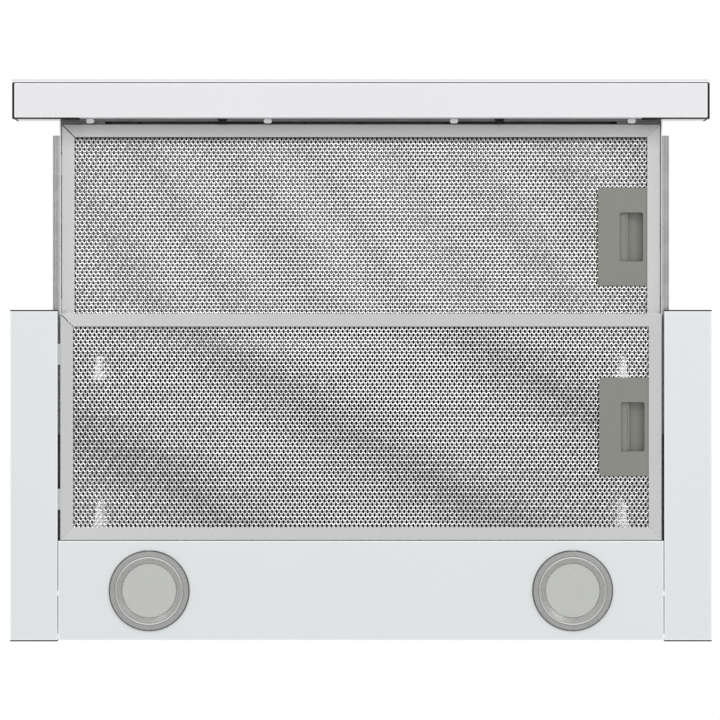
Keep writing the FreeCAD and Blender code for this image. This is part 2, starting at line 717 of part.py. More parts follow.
# ---------------------------------------------------------------- slide rails
RAIL_SHEET = 1.2
RAIL_HEIGHT = 17.0
RAIL_DEPTH = 5.5
BALL_R = 1.55
BALL_GAP = 3.3              # between the flanges of the two rails
RAIL_FRONT = FASCIA_REAR + 14.7
FIXED_RAIL_REAR = 100.0
CAGE_LENGTH = 90.0
CAGE_SHEET = 0.7
BALL_PITCH = 10.0
BEADS_X = (1.4, 3.7)        # grooves rolled along the moving rail's flanges
BEAD_WIDTH = 0.9
BEAD_DEPTH = 0.6


def channel(x_web, x_open, y0, y1, half_height, thick):
    """U-section rail with its web at x_web and its flanges reaching to x_open."""
    side = 1 if x_open > x_web else -1
    low = RAIL_MID_Z - half_height
    high = RAIL_MID_Z + half_height
    web = box(min(x_web, x_web + side * thick), max(x_web, x_web + side * thick), y0, y1, low, high)
    near = min(x_web, x_open)
    far = max(x_web, x_open)
    lower = box(near, far, y0, y1, low, low + thick)
    upper = box(near, far, y0, y1, high - thick, high)
    return joined([web, lower, upper])


def moving_rail():
    """Rail on the visor's right wall, open outwards."""
    rail = channel(RAIL_X, RAIL_X + RAIL_DEPTH, RAIL_FRONT, VISOR_REAR, RAIL_HEIGHT / 2, RAIL_SHEET)
    bends = edges_along(rail, V(0, 1, 0), lambda p: p.x < RAIL_X + 0.1)
    rail = rail.makeFillet(0.7, bends)
    low = RAIL_MID_Z - RAIL_HEIGHT / 2
    for offset in BEADS_X:
        x = RAIL_X + offset
        rail = rail.cut(box(x, x + BEAD_WIDTH, RAIL_FRONT - 1, VISOR_REAR + 1, low - 1, low + BEAD_DEPTH))
    return rail


def fixed_rail():
    """Rail on the right channel wall, open towards the visor."""
    half_height = RAIL_HEIGHT / 2 + BALL_GAP + RAIL_SHEET
    return channel(CHANNEL_X, RAIL_X + 2, -TRAY_Y + 1.5, FIXED_RAIL_REAR, half_height, RAIL_SHEET)


def ball_cage():
    """Pierced strip between the rails, with its balls, on the right."""
    web_x = RAIL_X + RAIL_DEPTH + 1.6
    row_z = RAIL_HEIGHT / 2 + BALL_GAP / 2
    y0 = -TRAY_Y + 3.6
    strip = channel(web_x, RAIL_X + 1.6, y0, y0 + CAGE_LENGTH, row_z + CAGE_SHEET / 2, CAGE_SHEET)
    ball_x = RAIL_X + 3.7
    balls = []
    for side in (-1, 1):
        z = RAIL_MID_Z + side * row_z
        for index in range(int(CAGE_LENGTH / BALL_PITCH)):
            y = y0 + 5 + index * BALL_PITCH
            strip = strip.cut(rod(BALL_R + 0.15, (ball_x, y, z - 2), (ball_x, y, z + 2)))
            balls.append(Part.makeSphere(BALL_R, V(ball_x, y, z)))
    return [strip] + balls


# ---------------------------------------------------------------- visor
LIP = 2.3
GUSSET_X = 220.0            # where the wider corners of the lip begin
GUSSET_DEPTH = 4.2
RIVET_LENGTH = 7.0
RIVET_WIDTH = 3.9
RIVET_X = (80.0, 232.5)
CLIP_X = 119.0
COVER_REAR = -TRAY_Y + 26
LATCH_SLOT = 11.0           # half the length of the wall's slots


def visor_front_wall():
    """Upright sheet behind the fascia, with a narrow lip turned back at its foot, wider at the corners."""
    wall = box(-WALL_X, WALL_X, FASCIA_REAR, FASCIA_REAR + SHEET, VISOR_BOTTOM, VISOR_TOP)
    lip = box(-WALL_X, WALL_X, FASCIA_REAR, FASCIA_REAR + LIP, VISOR_BOTTOM, VISOR_BOTTOM + 0.8)
    gussets = []
    for x0, x1 in ((-WALL_X, -GUSSET_X), (GUSSET_X, WALL_X)):
        gussets.append(box(x0, x1, FASCIA_REAR, FASCIA_REAR + GUSSET_DEPTH,
                           VISOR_BOTTOM + 2, VISOR_BOTTOM + 3))
    return joined([wall, lip] + gussets)


def visor_side():
    """Right wall of the visor, pierced for the filter's latch and tongues."""
    wall = box(WALL_X, WALL_X + SHEET, FASCIA_REAR, VISOR_REAR, VISOR_BOTTOM, VISOR_TOP)
    for y in [FRONT_FILTER_Y] + tongue_places(FRONT_FILTER_Y):
        slot = box(WALL_X - 1, WALL_X + SHEET + 1, y - LATCH_SLOT, y + LATCH_SLOT,
                   FRONT_FILTER_Z, FRONT_FILTER_Z + 7)
        wall = wall.cut(slot)
    return wall


def visor_cover():
    """Top sheet of the visor, which keeps the air path closed while it is out."""
    x = WALL_X + SHEET
    return box(-x, x, FASCIA_REAR, COVER_REAR, VISOR_TOP, VISOR_TOP + SHEET)


def visor_rear_bar():
    """Channel across the visor behind its filter."""
    front = FRONT_FILTER_Y + FILTER_DEPTH / 2 + 0.6
    low = FRONT_FILTER_Z
    high = FRONT_FILTER_Z + FILTER_HEIGHT
    web = box(-WALL_X, WALL_X, front, front + SHEET, low, high)
    foot = box(-WALL_X, WALL_X, front, front + 5, low, low + SHEET)
    head = box(-WALL_X, WALL_X, front, front + 5, high - SHEET, high)
    return joined([web, foot, head])


PROFILE_WALL = 1.2
RIB_HEIGHTS = (6.0, 21.0)   # lower edges of the ribs, above the fascia's underside
RIB = 4.0
PLATE_GAP = 0.7             # shadow line behind the front plate
PROFILE_FRONT = FASCIA_REAR - FASCIA_DEPTH + FRONT_PLATE + PLATE_GAP
PROFILE_X = FASCIA_WIDTH / 2 - END_CAP


def fascia_profile():
    """Box section across the front, with two ribs that the front plate is stuck to."""
    tube_outside = rounded_box(-PROFILE_X, PROFILE_X, PROFILE_FRONT, FASCIA_REAR,
                               BOTTOM, BOTTOM + FASCIA_HEIGHT, 1.0, V(1, 0, 0))
    hollow = box(-HALF, HALF, PROFILE_FRONT + PROFILE_WALL, FASCIA_REAR - PROFILE_WALL,
                 BOTTOM + PROFILE_WALL, BOTTOM + FASCIA_HEIGHT - PROFILE_WALL)
    section = tube_outside.cut(hollow)
    ribs = []
    for height in RIB_HEIGHTS:
        z = BOTTOM + height
        ribs.append(box(-PROFILE_X, PROFILE_X, PROFILE_FRONT - PLATE_GAP, PROFILE_FRONT + 0.5, z, z + RIB))
    return joined([section] + ribs)


def fascia_plate():
    x = FASCIA_WIDTH / 2
    front = FASCIA_REAR - FASCIA_DEPTH
    plate = box(-x, x, front, front + FRONT_PLATE, BOTTOM, BOTTOM + FASCIA_HEIGHT)
    edges = edges_along(plate, V(1, 0, 0), lambda p: p.y < front + 0.1)
    return plate.makeFillet(1.0, edges)


TONGUE_START = 253.0        # where the end cap's tongue widens into its pad
TONGUE_DEPTH = 0.7
TONGUE_HEIGHT = 7.0
PAD_LENGTH = 12.0
PAD_DEPTH = 1.1


def end_cap():
    """Black cap in the right end of the fascia profile, with a padded tongue along its rear foot."""
    face = box(PROFILE_X, PROFILE_X + END_CAP, PROFILE_FRONT, FASCIA_REAR, BOTTOM, BOTTOM + FASCIA_HEIGHT)
    face = face.makeChamfer(1.0, edges_along(face, V(0, 1, 0), lambda p: p.x > PROFILE_X + 1))
    inset = PROFILE_WALL + 0.2
    plug = box(PROFILE_X - 8, PROFILE_X, PROFILE_FRONT + inset, FASCIA_REAR - inset,
               BOTTOM + inset, BOTTOM + FASCIA_HEIGHT - inset)
    z = BOTTOM + 0.6
    tongue = box(TONGUE_START, PROFILE_X + END_CAP, FASCIA_REAR, FASCIA_REAR + TONGUE_DEPTH, z, z + TONGUE_HEIGHT)
    pad = box(TONGUE_START - PAD_LENGTH, TONGUE_START, FASCIA_REAR, FASCIA_REAR + PAD_DEPTH,
              z, z + TONGUE_HEIGHT)
    return joined([face, plug, tongue, pad])


def fascia_rivet(x):
    """White oval push rivet under the lip that ties the visor to the fascia."""
    y = FASCIA_REAR + RIVET_WIDTH / 2 + 0.1
    low = VISOR_BOTTOM - 1.8
    head = rounded_box(x - RIVET_LENGTH / 2, x + RIVET_LENGTH / 2, y - RIVET_WIDTH / 2, y + RIVET_WIDTH / 2,
                       low, VISOR_BOTTOM, RIVET_WIDTH / 2 - 0.1, V(0, 0, 1))
    return head.makeFillet(0.7, head.Faces[lowest_face(head)].Edges)


def fascia_clip(x):
    """Small black plate under the lip that hooks the fascia, narrower at its rear edge."""
    front = FASCIA_REAR
    rear = FASCIA_REAR + 3.6
    corners = [
        V(x - 4.2, front, VISOR_BOTTOM),
        V(x + 4.2, front, VISOR_BOTTOM),
        V(x + 2.8, rear, VISOR_BOTTOM),
        V(x - 2.8, rear, VISOR_BOTTOM),
    ]
    return Part.Face(Part.makePolygon(corners + corners[:1])).extrude(V(0, 0, -1.6))


# ---------------------------------------------------------------- grease filters
LATCH_LENGTH = 84.0
LATCH_LEFT = 204.0
SLOT_LEFT = 222.5
SLOT_RIGHT = 242.7
SLOT_LENGTH = 42.2
LATCH_TRAVEL = 6.0
LATCH_WALL = 1.3
TAB_WIDTH = 7.0
BOLT_WIDTH = 12.0
BOLT_CLEAR = 0.3
BOLT_LOW = 3.0              # the bolt's passage, above the filter's underside
BOLT_HIGH = 6.4
MESH_LAYERS = 5
MESH_SHEET = 0.4
EDGE_R = 0.6                # rolled outer edges of the frame
TONGUE_Y = 62.0
TONGUE_WIDTH = 18.0
FRONT_TONGUE = 1.3          # stays within the visor's wall
REAR_TONGUE = 3.3           # lies on the painted strip
SPRING_R = 1.5
SPRING_WIRE = 0.3
SPRING_COILS = 5
SPRING_GAP = 0.1            # between the spring's end and what it pushes on
REST_GAP = 8.6              # case wall to slider, at rest


def tongue_places(y):
    """Where the left end's two tongues are, for a filter centred at y."""
    return [y - TONGUE_Y, y + TONGUE_Y]


def filter_frame(y, z, tongue):
    """Aluminium U-section frame, mitred, with its tongues on the left and bolt hole on the right."""
    x = FILTER_X
    half = FILTER_DEPTH / 2
    top = z + FILTER_HEIGHT
    frame = box(-x, x, y - half, y + half, z, top)
    frame = frame.makeFillet(EDGE_R, edges_along(frame, V(1, 0, 0)) + edges_along(frame, V(0, 1, 0)))
    window = box(-x + FILTER_BAR, x - FILTER_BAR, y - half + FILTER_BAR, y + half - FILTER_BAR,
                 z - 1, top + 1)
    inside = box(-x + FRAME_SHEET, x - FRAME_SHEET, y - half + FRAME_SHEET, y + half - FRAME_SHEET,
                 z + FRAME_SHEET, top - FRAME_SHEET)
    frame = frame.cut(window).cut(inside).cut(bolt_passage(x - 5, x + 1, y, z))
    for corner in mitre_cuts(y, z):
        frame = frame.cut(corner)
    tongues = []
    for place in tongue_places(y):
        tongues.append(box(-x - tongue, -x + 0.5, place - TONGUE_WIDTH / 2, place + TONGUE_WIDTH / 2,
                           z + 0.8, z + 1.8))
    return joined([frame] + tongues)


def bolt_passage(x0, x1, y, z):
    """What is cut away for the latch bolt to slide in."""
    half = BOLT_WIDTH / 2 + BOLT_CLEAR
    return box(x0, x1, y - half, y + half, z + BOLT_LOW, z + BOLT_HIGH)


def mitre_cuts(y, z):
    """Fold lines across three corners and the open joint across the front left one."""
    cuts = []
    x = FILTER_X
    half = FILTER_DEPTH / 2
    for side_x in (-1, 1):
        for side_y in (-1, 1):
            open_joint = side_x < 0 and side_y < 0
            width = 0.8 if open_joint else 0.45
            depth = FRAME_SHEET + 0.1 if open_joint else 0.25
            cut = box(0.9, FILTER_BAR * 1.5, -width / 2, width / 2, -1, depth)
            cut.rotate(V(0, 0, 0), V(0, 0, 1), math.degrees(math.atan2(-side_y, -side_x)))
            cuts.append(moved(cut, side_x * x, y + side_y * half, z))
    return cuts


def filter_mesh(y, z):
    """Stack of expanded-metal sheets held in the frame, cut away around the latch."""
    x = FILTER_X - FRAME_SHEET - 0.6
    half = FILTER_DEPTH / 2 - FRAME_SHEET - 0.6
    bottom = z + FRAME_SHEET + 0.3
    top = z + FILTER_HEIGHT - FRAME_SHEET - 0.3 - MESH_SHEET
    cut_out = box(LATCH_LEFT - 0.5, HALF, y - LATCH_LENGTH / 2 - 0.5, y + LATCH_LENGTH / 2 + 0.5, z, z + 20)
    sheets = []
    for layer in range(MESH_LAYERS):
        height = bottom + (top - bottom) * layer / (MESH_LAYERS - 1)
        sheet = box(-x, x, y - half, y + half, height, height + MESH_SHEET)
        sheets.append(sheet.cut(cut_out))
    return sheets


def latch_case(y, z):
    """Grey plastic box let into the mesh, with a finger slot in its lower face."""
    right = FILTER_X - FILTER_BAR + 4
    half = LATCH_LENGTH / 2
    low = z + FRAME_SHEET + 0.1
    high = z + FILTER_HEIGHT - FRAME_SHEET - 0.2
    case = box(LATCH_LEFT, right, y - half, y + half, low, high)
    left_corners = edges_along(case, V(0, 0, 1), lambda p: p.x < LATCH_LEFT + 0.1)
    case = case.makeFillet(2.4, left_corners)
    rim = edges_along(case, V(0, 1, 0), lambda p: p.x < LATCH_LEFT + 0.1 and p.z < low + 0.1)
    case = case.makeFillet(0.5, rim)
    room = box(LATCH_LEFT + LATCH_WALL, right - LATCH_WALL, y - half + LATCH_WALL, y + half - LATCH_WALL,
               low + LATCH_WALL, high - LATCH_WALL)
    slot = rounded_box(SLOT_LEFT, SLOT_RIGHT, y - SLOT_LENGTH / 2, y + SLOT_LENGTH / 2,
                       low - 1, low + LATCH_WALL + 0.5, 1.8, V(0, 0, 1))
    return case.cut(room).cut(slot).cut(bolt_passage(right - 5, right + 1, y, z))


def latch_slider(y, z):
    """Slider with its finger tab, open under the finger, and the bolt that leaves the frame."""
    low = z + BOLT_LOW + 0.2
    high = z + BOLT_HIGH - 0.2
    rear_edge = LATCH_LEFT + LATCH_WALL + REST_GAP
    arm_out = SLOT_LENGTH / 2 + 6
    arm_in = SLOT_LENGTH / 2 + 0.5
    front_edge = FILTER_X - FILTER_BAR + 4 - LATCH_WALL - 1.0
    tab_right = SLOT_LEFT + TAB_WIDTH
    back_bar = box(rear_edge, tab_right, y - arm_out, y + arm_out, low, high)
    front_bar = box(front_edge - 2.5, front_edge, y - arm_out, y + arm_out, low, high)
    arms = [
        box(rear_edge, front_edge, y + arm_in, y + arm_out, low, high),
        box(rear_edge, front_edge, y - arm_out, y - arm_in, low, high),
    ]
    tab = box(SLOT_LEFT + LATCH_TRAVEL, tab_right, y - SLOT_LENGTH / 2 + 1, y + SLOT_LENGTH / 2 - 1,
              z + 2.6, high)
    bolt = box(front_edge - 1, FILTER_X + 1.4, y - BOLT_WIDTH / 2, y + BOLT_WIDTH / 2, low, high)
    return joined([back_bar, front_bar, tab, bolt] + arms)


def latch_spring(y, z):
    """Coil spring between the case's left wall and the slider."""
    inset = SPRING_GAP + SPRING_WIRE
    start = LATCH_LEFT + LATCH_WALL + inset
    middle = z + (BOLT_LOW + BOLT_HIGH) / 2
    return spring(SPRING_R, SPRING_WIRE, REST_GAP - 2 * inset, SPRING_COILS, (start, y, middle), V(1, 0, 0))


def save_filter(place, y, z, tongue):
    save(place + "_filter_frame", filter_frame(y, z, tongue))
    save(place + "_filter_mesh", *filter_mesh(y, z))
    save(place + "_latch_case", latch_case(y, z))
    save(place + "_latch_slider", latch_slider(y, z))
    save(place + "_latch_spring", latch_spring(y, z))


# ---------------------------------------------------------------- everything
def save_body():
    save("top_deck", top_deck())
    trim = side_trim()
    save("side_trim_right", trim)
    save("side_trim_left", mirrored(trim))
    save("end_buffers", *end_buffers())
    save("lamp_panel", lamp_panel())
    save("deck_guides", *deck_guides())
    save("control_strip", control_strip())
    for index, name in enumerate(BUTTON_NAMES):
        save(name, button(index))
    save("switch_block", switch_block())
    save("visor_switch", visor_switch())
    save("housing_shell", housing_shell())
    side = housing_side()
    save("housing_side_right", side)
    save("housing_side_left", mirrored(side))
    save("housing_screws", *flange_screw_set())


def save_lamps():
    save("lamp_bezel_left", lamp_bezel(-LAMP_X))
    save("lamp_bezel_right", lamp_bezel(LAMP_X))
    save("lamp_lenses", lamp_lens(-LAMP_X), lamp_lens(LAMP_X))
    save("lamp_bodies", lamp_body(-LAMP_X), lamp_body(LAMP_X))
    clips = [lamp_clip(x, side) for x in (-LAMP_X, LAMP_X) for side in (-1, 1)]
    save("lamp_clips", *clips)


def save_fan():
    save("outlet_collar", outlet_collar())
    save("flap_pin", flap_pin())
    save("flap_front", flap(-1))
    save("flap_rear", flap(1))
    half = scroll_half()
    save("scroll_right", half)
    save("scroll_left", mirrored(half))
    save("impeller", impeller())
    save("motor", motor())
    save("motor_shaft", motor_shaft())
    save("motor_bracket", motor_bracket())
    save("capacitor", capacitor())
    save("terminal_box", terminal_box())
    save("terminal_lid", terminal_lid())
    save("cable_gland", cable_gland())
    save("led_driver", led_driver())


def save_visor():
    rail = moving_rail()
    save("moving_rails", rail, mirrored(rail))
    rail = fixed_rail()
    save("fixed_rails", rail, mirrored(rail))
    cage = ball_cage()
    save("ball_cages", *(cage + [mirrored(piece) for piece in cage]))
    wall = visor_side()
    save("visor_side_right", wall)
    save("visor_side_left", mirrored(wall))
    save("visor_front_wall", visor_front_wall())
    save("visor_cover", visor_cover())
    save("visor_rear_bar", visor_rear_bar())
    save("fascia_profile", fascia_profile())
    save("fascia_plate", fascia_plate())
    cap = end_cap()
    save("fascia_end_caps", cap, mirrored(cap))
    save("fascia_rivets", *[fascia_rivet(side * x) for x in RIVET_X for side in (-1, 1)])
    save("fascia_clips", fascia_clip(-CLIP_X), fascia_clip(CLIP_X))


os.makedirs("parts", exist_ok=True)
save_body()
save_lamps()
save_fan()
save_visor()
save_filter("front", FRONT_FILTER_Y, FRONT_FILTER_Z, FRONT_TONGUE)
save_filter("rear", REAR_FILTER_Y, REAR_FILTER_Z, REAR_TONGUE)
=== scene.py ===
import bpy
import math
import numpy as np
from mathutils import Matrix, Vector


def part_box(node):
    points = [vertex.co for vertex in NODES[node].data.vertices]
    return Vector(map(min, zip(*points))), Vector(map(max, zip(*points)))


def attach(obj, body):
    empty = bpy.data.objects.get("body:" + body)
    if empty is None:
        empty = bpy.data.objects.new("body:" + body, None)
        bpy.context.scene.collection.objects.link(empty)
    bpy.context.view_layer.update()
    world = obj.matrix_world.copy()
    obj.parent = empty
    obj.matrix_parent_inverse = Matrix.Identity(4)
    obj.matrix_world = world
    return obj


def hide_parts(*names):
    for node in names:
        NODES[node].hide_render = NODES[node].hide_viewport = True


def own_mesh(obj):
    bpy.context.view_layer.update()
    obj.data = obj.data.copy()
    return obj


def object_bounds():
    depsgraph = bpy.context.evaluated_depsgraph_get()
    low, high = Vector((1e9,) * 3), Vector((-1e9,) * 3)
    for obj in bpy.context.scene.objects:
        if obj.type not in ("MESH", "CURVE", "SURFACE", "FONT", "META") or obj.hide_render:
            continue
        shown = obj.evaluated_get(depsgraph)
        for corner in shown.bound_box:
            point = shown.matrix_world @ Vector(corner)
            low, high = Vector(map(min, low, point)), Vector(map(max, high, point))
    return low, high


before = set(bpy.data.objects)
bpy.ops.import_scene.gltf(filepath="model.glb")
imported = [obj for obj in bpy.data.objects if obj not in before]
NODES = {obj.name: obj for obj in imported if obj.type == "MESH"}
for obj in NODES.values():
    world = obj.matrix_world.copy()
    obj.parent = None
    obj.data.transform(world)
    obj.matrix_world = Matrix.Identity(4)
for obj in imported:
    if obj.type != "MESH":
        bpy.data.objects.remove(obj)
CAD_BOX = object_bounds()
MM = 0.001


# ---------------------------------------------------------------- node helpers
class Graph:
    """Short spellings for one material's nodes."""

    def __init__(self, name):
        self.material = bpy.data.materials.new(name)
        self.material.use_nodes = True
        self.nodes = self.material.node_tree.nodes
        self.links = self.material.node_tree.links
        self.shader = self.nodes["Principled BSDF"]
        self.place = self.nodes.new("ShaderNodeTexCoord").outputs["Object"]

    def link(self, source, target):
        self.links.new(source, target)

    def stretched(self, scale):
        """The object's own coordinates, in metres, multiplied by scale along x, y and z."""
        node = self.nodes.new("ShaderNodeMapping")
        node.inputs["Scale"].default_value = scale
        self.link(self.place, node.inputs["Vector"])
        return node.outputs["Vector"]

    def noise(self, scale, detail=2.0, stretch=(1, 1, 1), roughness=0.5):
        node = self.nodes.new("ShaderNodeTexNoise")
        node.inputs["Scale"].default_value = scale
        node.inputs["Detail"].default_value = detail
        node.inputs["Roughness"].default_value = roughness
        self.link(self.stretched(stretch), node.inputs["Vector"])
        return node.outputs["Fac"]

    def crystal_tones(self, scale):
        """Three random tones for each flat crystal, as sockets X, Y and Z."""
        node = self.nodes.new("ShaderNodeTexVoronoi")
        node.inputs["Scale"].default_value = scale
        self.link(self.place, node.inputs["Vector"])
        return self.parted(node.outputs["Color"])

    def parted(self, vector):
        """A vector's own X, Y and Z sockets."""
        node = self.nodes.new("ShaderNodeSeparateXYZ")
        self.link(vector, node.inputs["Vector"])
        return node.outputs

    def ramp(self, value, low, high, start=0.0, end=1.0):
        """value, read between start and end, spread between low and high."""
        node = self.nodes.new("ShaderNodeMapRange")
        node.inputs["From Min"].default_value = start
        node.inputs["From Max"].default_value = end
        node.inputs["To Min"].default_value = low
        node.inputs["To Max"].default_value = high
        self.link(value, node.inputs["Value"])
        return node.outputs["Result"]

    def math(self, operation, first, second=0.0):
        node = self.nodes.new("ShaderNodeMath")
        node.operation = operation
        for socket, value in zip(node.inputs, (first, second)):
            if isinstance(value, (int, float)):
                socket.default_value = value
            else:
                self.link(value, socket)
        return node.outputs["Value"]

    def mix(self, factor, first, second):
        """A colour between two colours; either may be a socket."""
        node = self.nodes.new("ShaderNodeMix")
        node.data_type = "RGBA"
        self.link(factor, node.inputs["Factor"])
        for socket, value in ((node.inputs["A"], first), (node.inputs["B"], second)):
            if isinstance(value, tuple):
                socket.default_value = (*value, 1.0)
            else:
                self.link(value, socket)
        return node.outputs["Result"]

    def darker(self, color, share):
        """A colour socket times share."""
        node = self.nodes.new("ShaderNodeVectorMath")
        node.operation = "SCALE"
        node.inputs["Scale"].default_value = share
        self.link(color, node.inputs[0])
        return node.outputs["Vector"]

    def bump(self, height, distance, strength=1.0, after=None):
        node = self.nodes.new("ShaderNodeBump")
        node.inputs["Strength"].default_value = strength
        node.inputs["Distance"].default_value = distance
        self.link(height, node.inputs["Height"])
        if after is not None:
            self.link(after, node.inputs["Normal"])
        return node.outputs["Normal"]

    def soft_edges(self, radius):
        """A normal that rounds sharp edges over radius."""
        node = self.nodes.new("ShaderNodeBevel")
        node.samples = 4
        node.inputs["Radius"].default_value = radius
        return node.outputs["Normal"]

    def edge_wear_and_highlight(self, radius, flattest=0.75):
        """0 on flat faces, rising towards 1 at sharp edges: a mask for worn edges and for painted edge
        highlights.
        """
        across = self.nodes.new("ShaderNodeVectorMath")
        across.operation = "DOT_PRODUCT"
        true_normal = self.nodes.new("ShaderNodeNewGeometry").outputs["True Normal"]
        self.link(self.soft_edges(radius), across.inputs[0])
        self.link(true_normal, across.inputs[1])
        return self.ramp(across.outputs["Value"], 1.0, 0.0, flattest, 1.0)

    def finish(self, color, roughness, normal, metallic=0.0, **fixed):
        """The finished material; fixed holds the shader's other inputs, with _ for a space."""
        shader = self.shader
        self.link(color, shader.inputs["Base Color"])
        if isinstance(roughness, (int, float)):
            shader.inputs["Roughness"].default_value = roughness
        elif roughness is not None:
            self.link(roughness, shader.inputs["Roughness"])
        self.link(normal, shader.inputs["Normal"])
        shader.inputs["Metallic"].default_value = metallic
        for name, value in fixed.items():
            shader.inputs[name.replace("_", " ")].default_value = value
        return self.material


# ---------------------------------------------------------------- materials
FASCIA_SHADE = 15.0 * MM    # how far behind the fascia its shadow reaches


def times(color, share):
    """A fixed colour made darker or brighter, never past white."""
    return tuple(min(1.0, part * share) for part in color)


def white_paint(name, color):
    """Satin powder coat: orange peel, faint cloudiness, and a painted highlight along its sharp edges.
    """
    g = Graph(name)
    cloud = g.noise(9.0, 3.0)
    fine = g.noise(420.0, 2.0)
    tint = g.mix(cloud, times(color, 0.975), color)
    tint = g.mix(g.ramp(fine, 0.0, 0.06, 0.35, 0.7), tint, times(color, 0.9))
    # Painted highlight: sharp edges made lighter in the colour, as if catching the light.
    edges = g.math("MULTIPLY", g.edge_wear_and_highlight(0.0018, 0.93), 0.9)
    tint = g.mix(edges, tint, times(color, 1.25))
    rough = g.ramp(g.noise(60.0, 3.0), 0.30, 0.42)
    peel = g.bump(g.noise(650.0, 2.0), 0.00004, 0.35)
    return g.finish(tint, rough, peel, IOR=1.5, Coat_Weight=0.15, Coat_Roughness=0.25)


def shaded_from(g, color, front, depth, least, curve):
    """The colour, falling to least of itself at y = front and full again at depth behind it."""
    full = g.ramp(g.parted(g.place)["Y"], 0.0, 1.0, front, front + depth)
    return g.mix(g.math("POWER", full, curve), g.darker(color, least), color)


def shade_banded(g, color, bands):
    """The colour with broad soft diagonal bands of painted shade, where the holes of stacked sheets fall
    out of step.
    """
    x, y, lean, period, reach, least = bands
    spot = g.parted(g.place)
    across = g.math("SUBTRACT", spot["X"], x)
    leaning = g.math("MULTIPLY", g.math("SUBTRACT", spot["Y"], y), lean)
    waves = g.math("DIVIDE", g.math("SUBTRACT", across, leaning), period)
    wander = g.ramp(g.noise(11.0, 2.0), -0.10, 0.10, 0.25, 0.75)
    turn = g.math("FRACT", g.math("ADD", g.math("ADD", waves, wander), 0.5))
    away = g.math("ABSOLUTE", g.math("SUBTRACT", turn, 0.5))
    return g.mix(g.ramp(away, 1.0, 0.0, 0.0, reach), color, g.darker(color, least))


def brushed_bars(name, color, box_low, box_high, under_fascia):
    """Rolled aluminium whose grain turns at each mitre of a rectangular frame."""
    g = Graph(name)
    spot = g.parted(g.place)
    middle = (box_low + box_high) / 2
    half = (box_high - box_low) / 2
    off_middle_x = g.math("ABSOLUTE", g.math("SUBTRACT", spot["X"], middle.x))
    off_middle_y = g.math("ABSOLUTE", g.math("SUBTRACT", spot["Y"], middle.y))
    from_end = g.math("SUBTRACT", half.x, off_middle_x)
    from_side = g.math("SUBTRACT", half.y, off_middle_y)
    on_end_bar = g.math("LESS_THAN", from_end, from_side)
    on_long_bar = g.math("SUBTRACT", 1.0, on_end_bar)
    along_x = g.noise(1.0, 4.0, (60, 4200, 4200), 0.62)
    along_y = g.noise(1.0, 4.0, (4200, 60, 4200), 0.62)
    grain = g.math("ADD", g.math("MULTIPLY", along_x, on_long_bar),
                   g.math("MULTIPLY", along_y, on_end_bar))
    across_grain = g.nodes.new("ShaderNodeCombineXYZ")
    g.link(on_end_bar, across_grain.inputs["X"])
    g.link(on_long_bar, across_grain.inputs["Y"])
    g.link(across_grain.outputs["Vector"], g.shader.inputs["Tangent"])
    stain = g.noise(24.0, 3.0)
    tint = g.mix(g.ramp(grain, 0.0, 1.0, 0.3, 0.7), times(color, 0.96), color)
    tint = g.mix(g.ramp(stain, 0.0, 0.12, 0.45, 0.8), tint, times(color, 0.88))
    # Painted highlight: the bars' sharp edges made lighter in the colour.
    tint = g.mix(g.math("MULTIPLY", g.edge_wear_and_highlight(0.0007), 0.6), tint, times(color, 1.15))
    # Painted shadow: the front frame darkened towards the fascia, which keeps light from it.
    if under_fascia:
        tint = shaded_from(g, tint, box_low.y, 1.5 * FASCIA_SHADE, 0.58, 0.8)
    rough = g.ramp(grain, 0.38, 0.50, 0.3, 0.7)
    normal = g.bump(grain, 0.00001, 0.3, g.soft_edges(0.0005))
    return g.finish(tint, rough, normal, 1.0, Anisotropic=0.9)


def mesh_metal(name, color, rough_low, rough_high, bands, front=None):
    """Bright rolled foil of the filter mesh, a little uneven, with painted shadow near a fascia in front
    of it.
    """
    g = Graph(name)
    tone = g.noise(190.0, 2.0)
    tint = g.mix(g.ramp(tone, 0.0, 1.0, 0.3, 0.7), times(color, 0.80), color)
    grease = g.noise(14.0, 3.0)
    tint = g.mix(g.ramp(grease, 0.0, 0.25, 0.45, 0.75), tint, times(color, 0.7))
    tint = shade_banded(g, tint, bands)
    # Painted shadow: the mesh darkened just behind the fascia, which keeps light from it.
    if front is not None:
        tint = shaded_from(g, tint, front, FASCIA_SHADE, 0.015, 2.5)
    rough = g.ramp(g.noise(420.0, 2.0), rough_low, rough_high)
    normal = g.bump(g.noise(2600.0, 2.0), 0.00003, 0.4)
    return g.finish(tint, rough, normal, 1.0)


def galvanised(name, color):
    """Zinc-coated sheet with a spangle of flat crystals."""
    g = Graph(name)
    tone = g.crystal_tones(140.0)
    tint = g.mix(tone["X"], times(color, 0.86), color)
    tint = g.mix(g.ramp(g.noise(30.0, 4.0), 0.0, 0.3, 0.5, 0.8), tint, times(color, 0.72))
    rough = g.ramp(tone["Y"], 0.36, 0.54)
    normal = g.bump(g.noise(900.0, 3.0), 0.00003, 0.3, g.soft_edges(0.0004))
    return g.finish(tint, rough, normal, 1.0)


# Lines of painted shade and highlight in a lamp's ring: radius in rims, half width, grey, and whether it
# fades at the sides
RING_SHADE_AND_HIGHLIGHT = (
    (0.985, 0.9 * MM, 0.13, False),
    (0.845, 0.5 * MM, 0.27, False),
    (0.823, 0.6 * MM, 0.98, True),
)


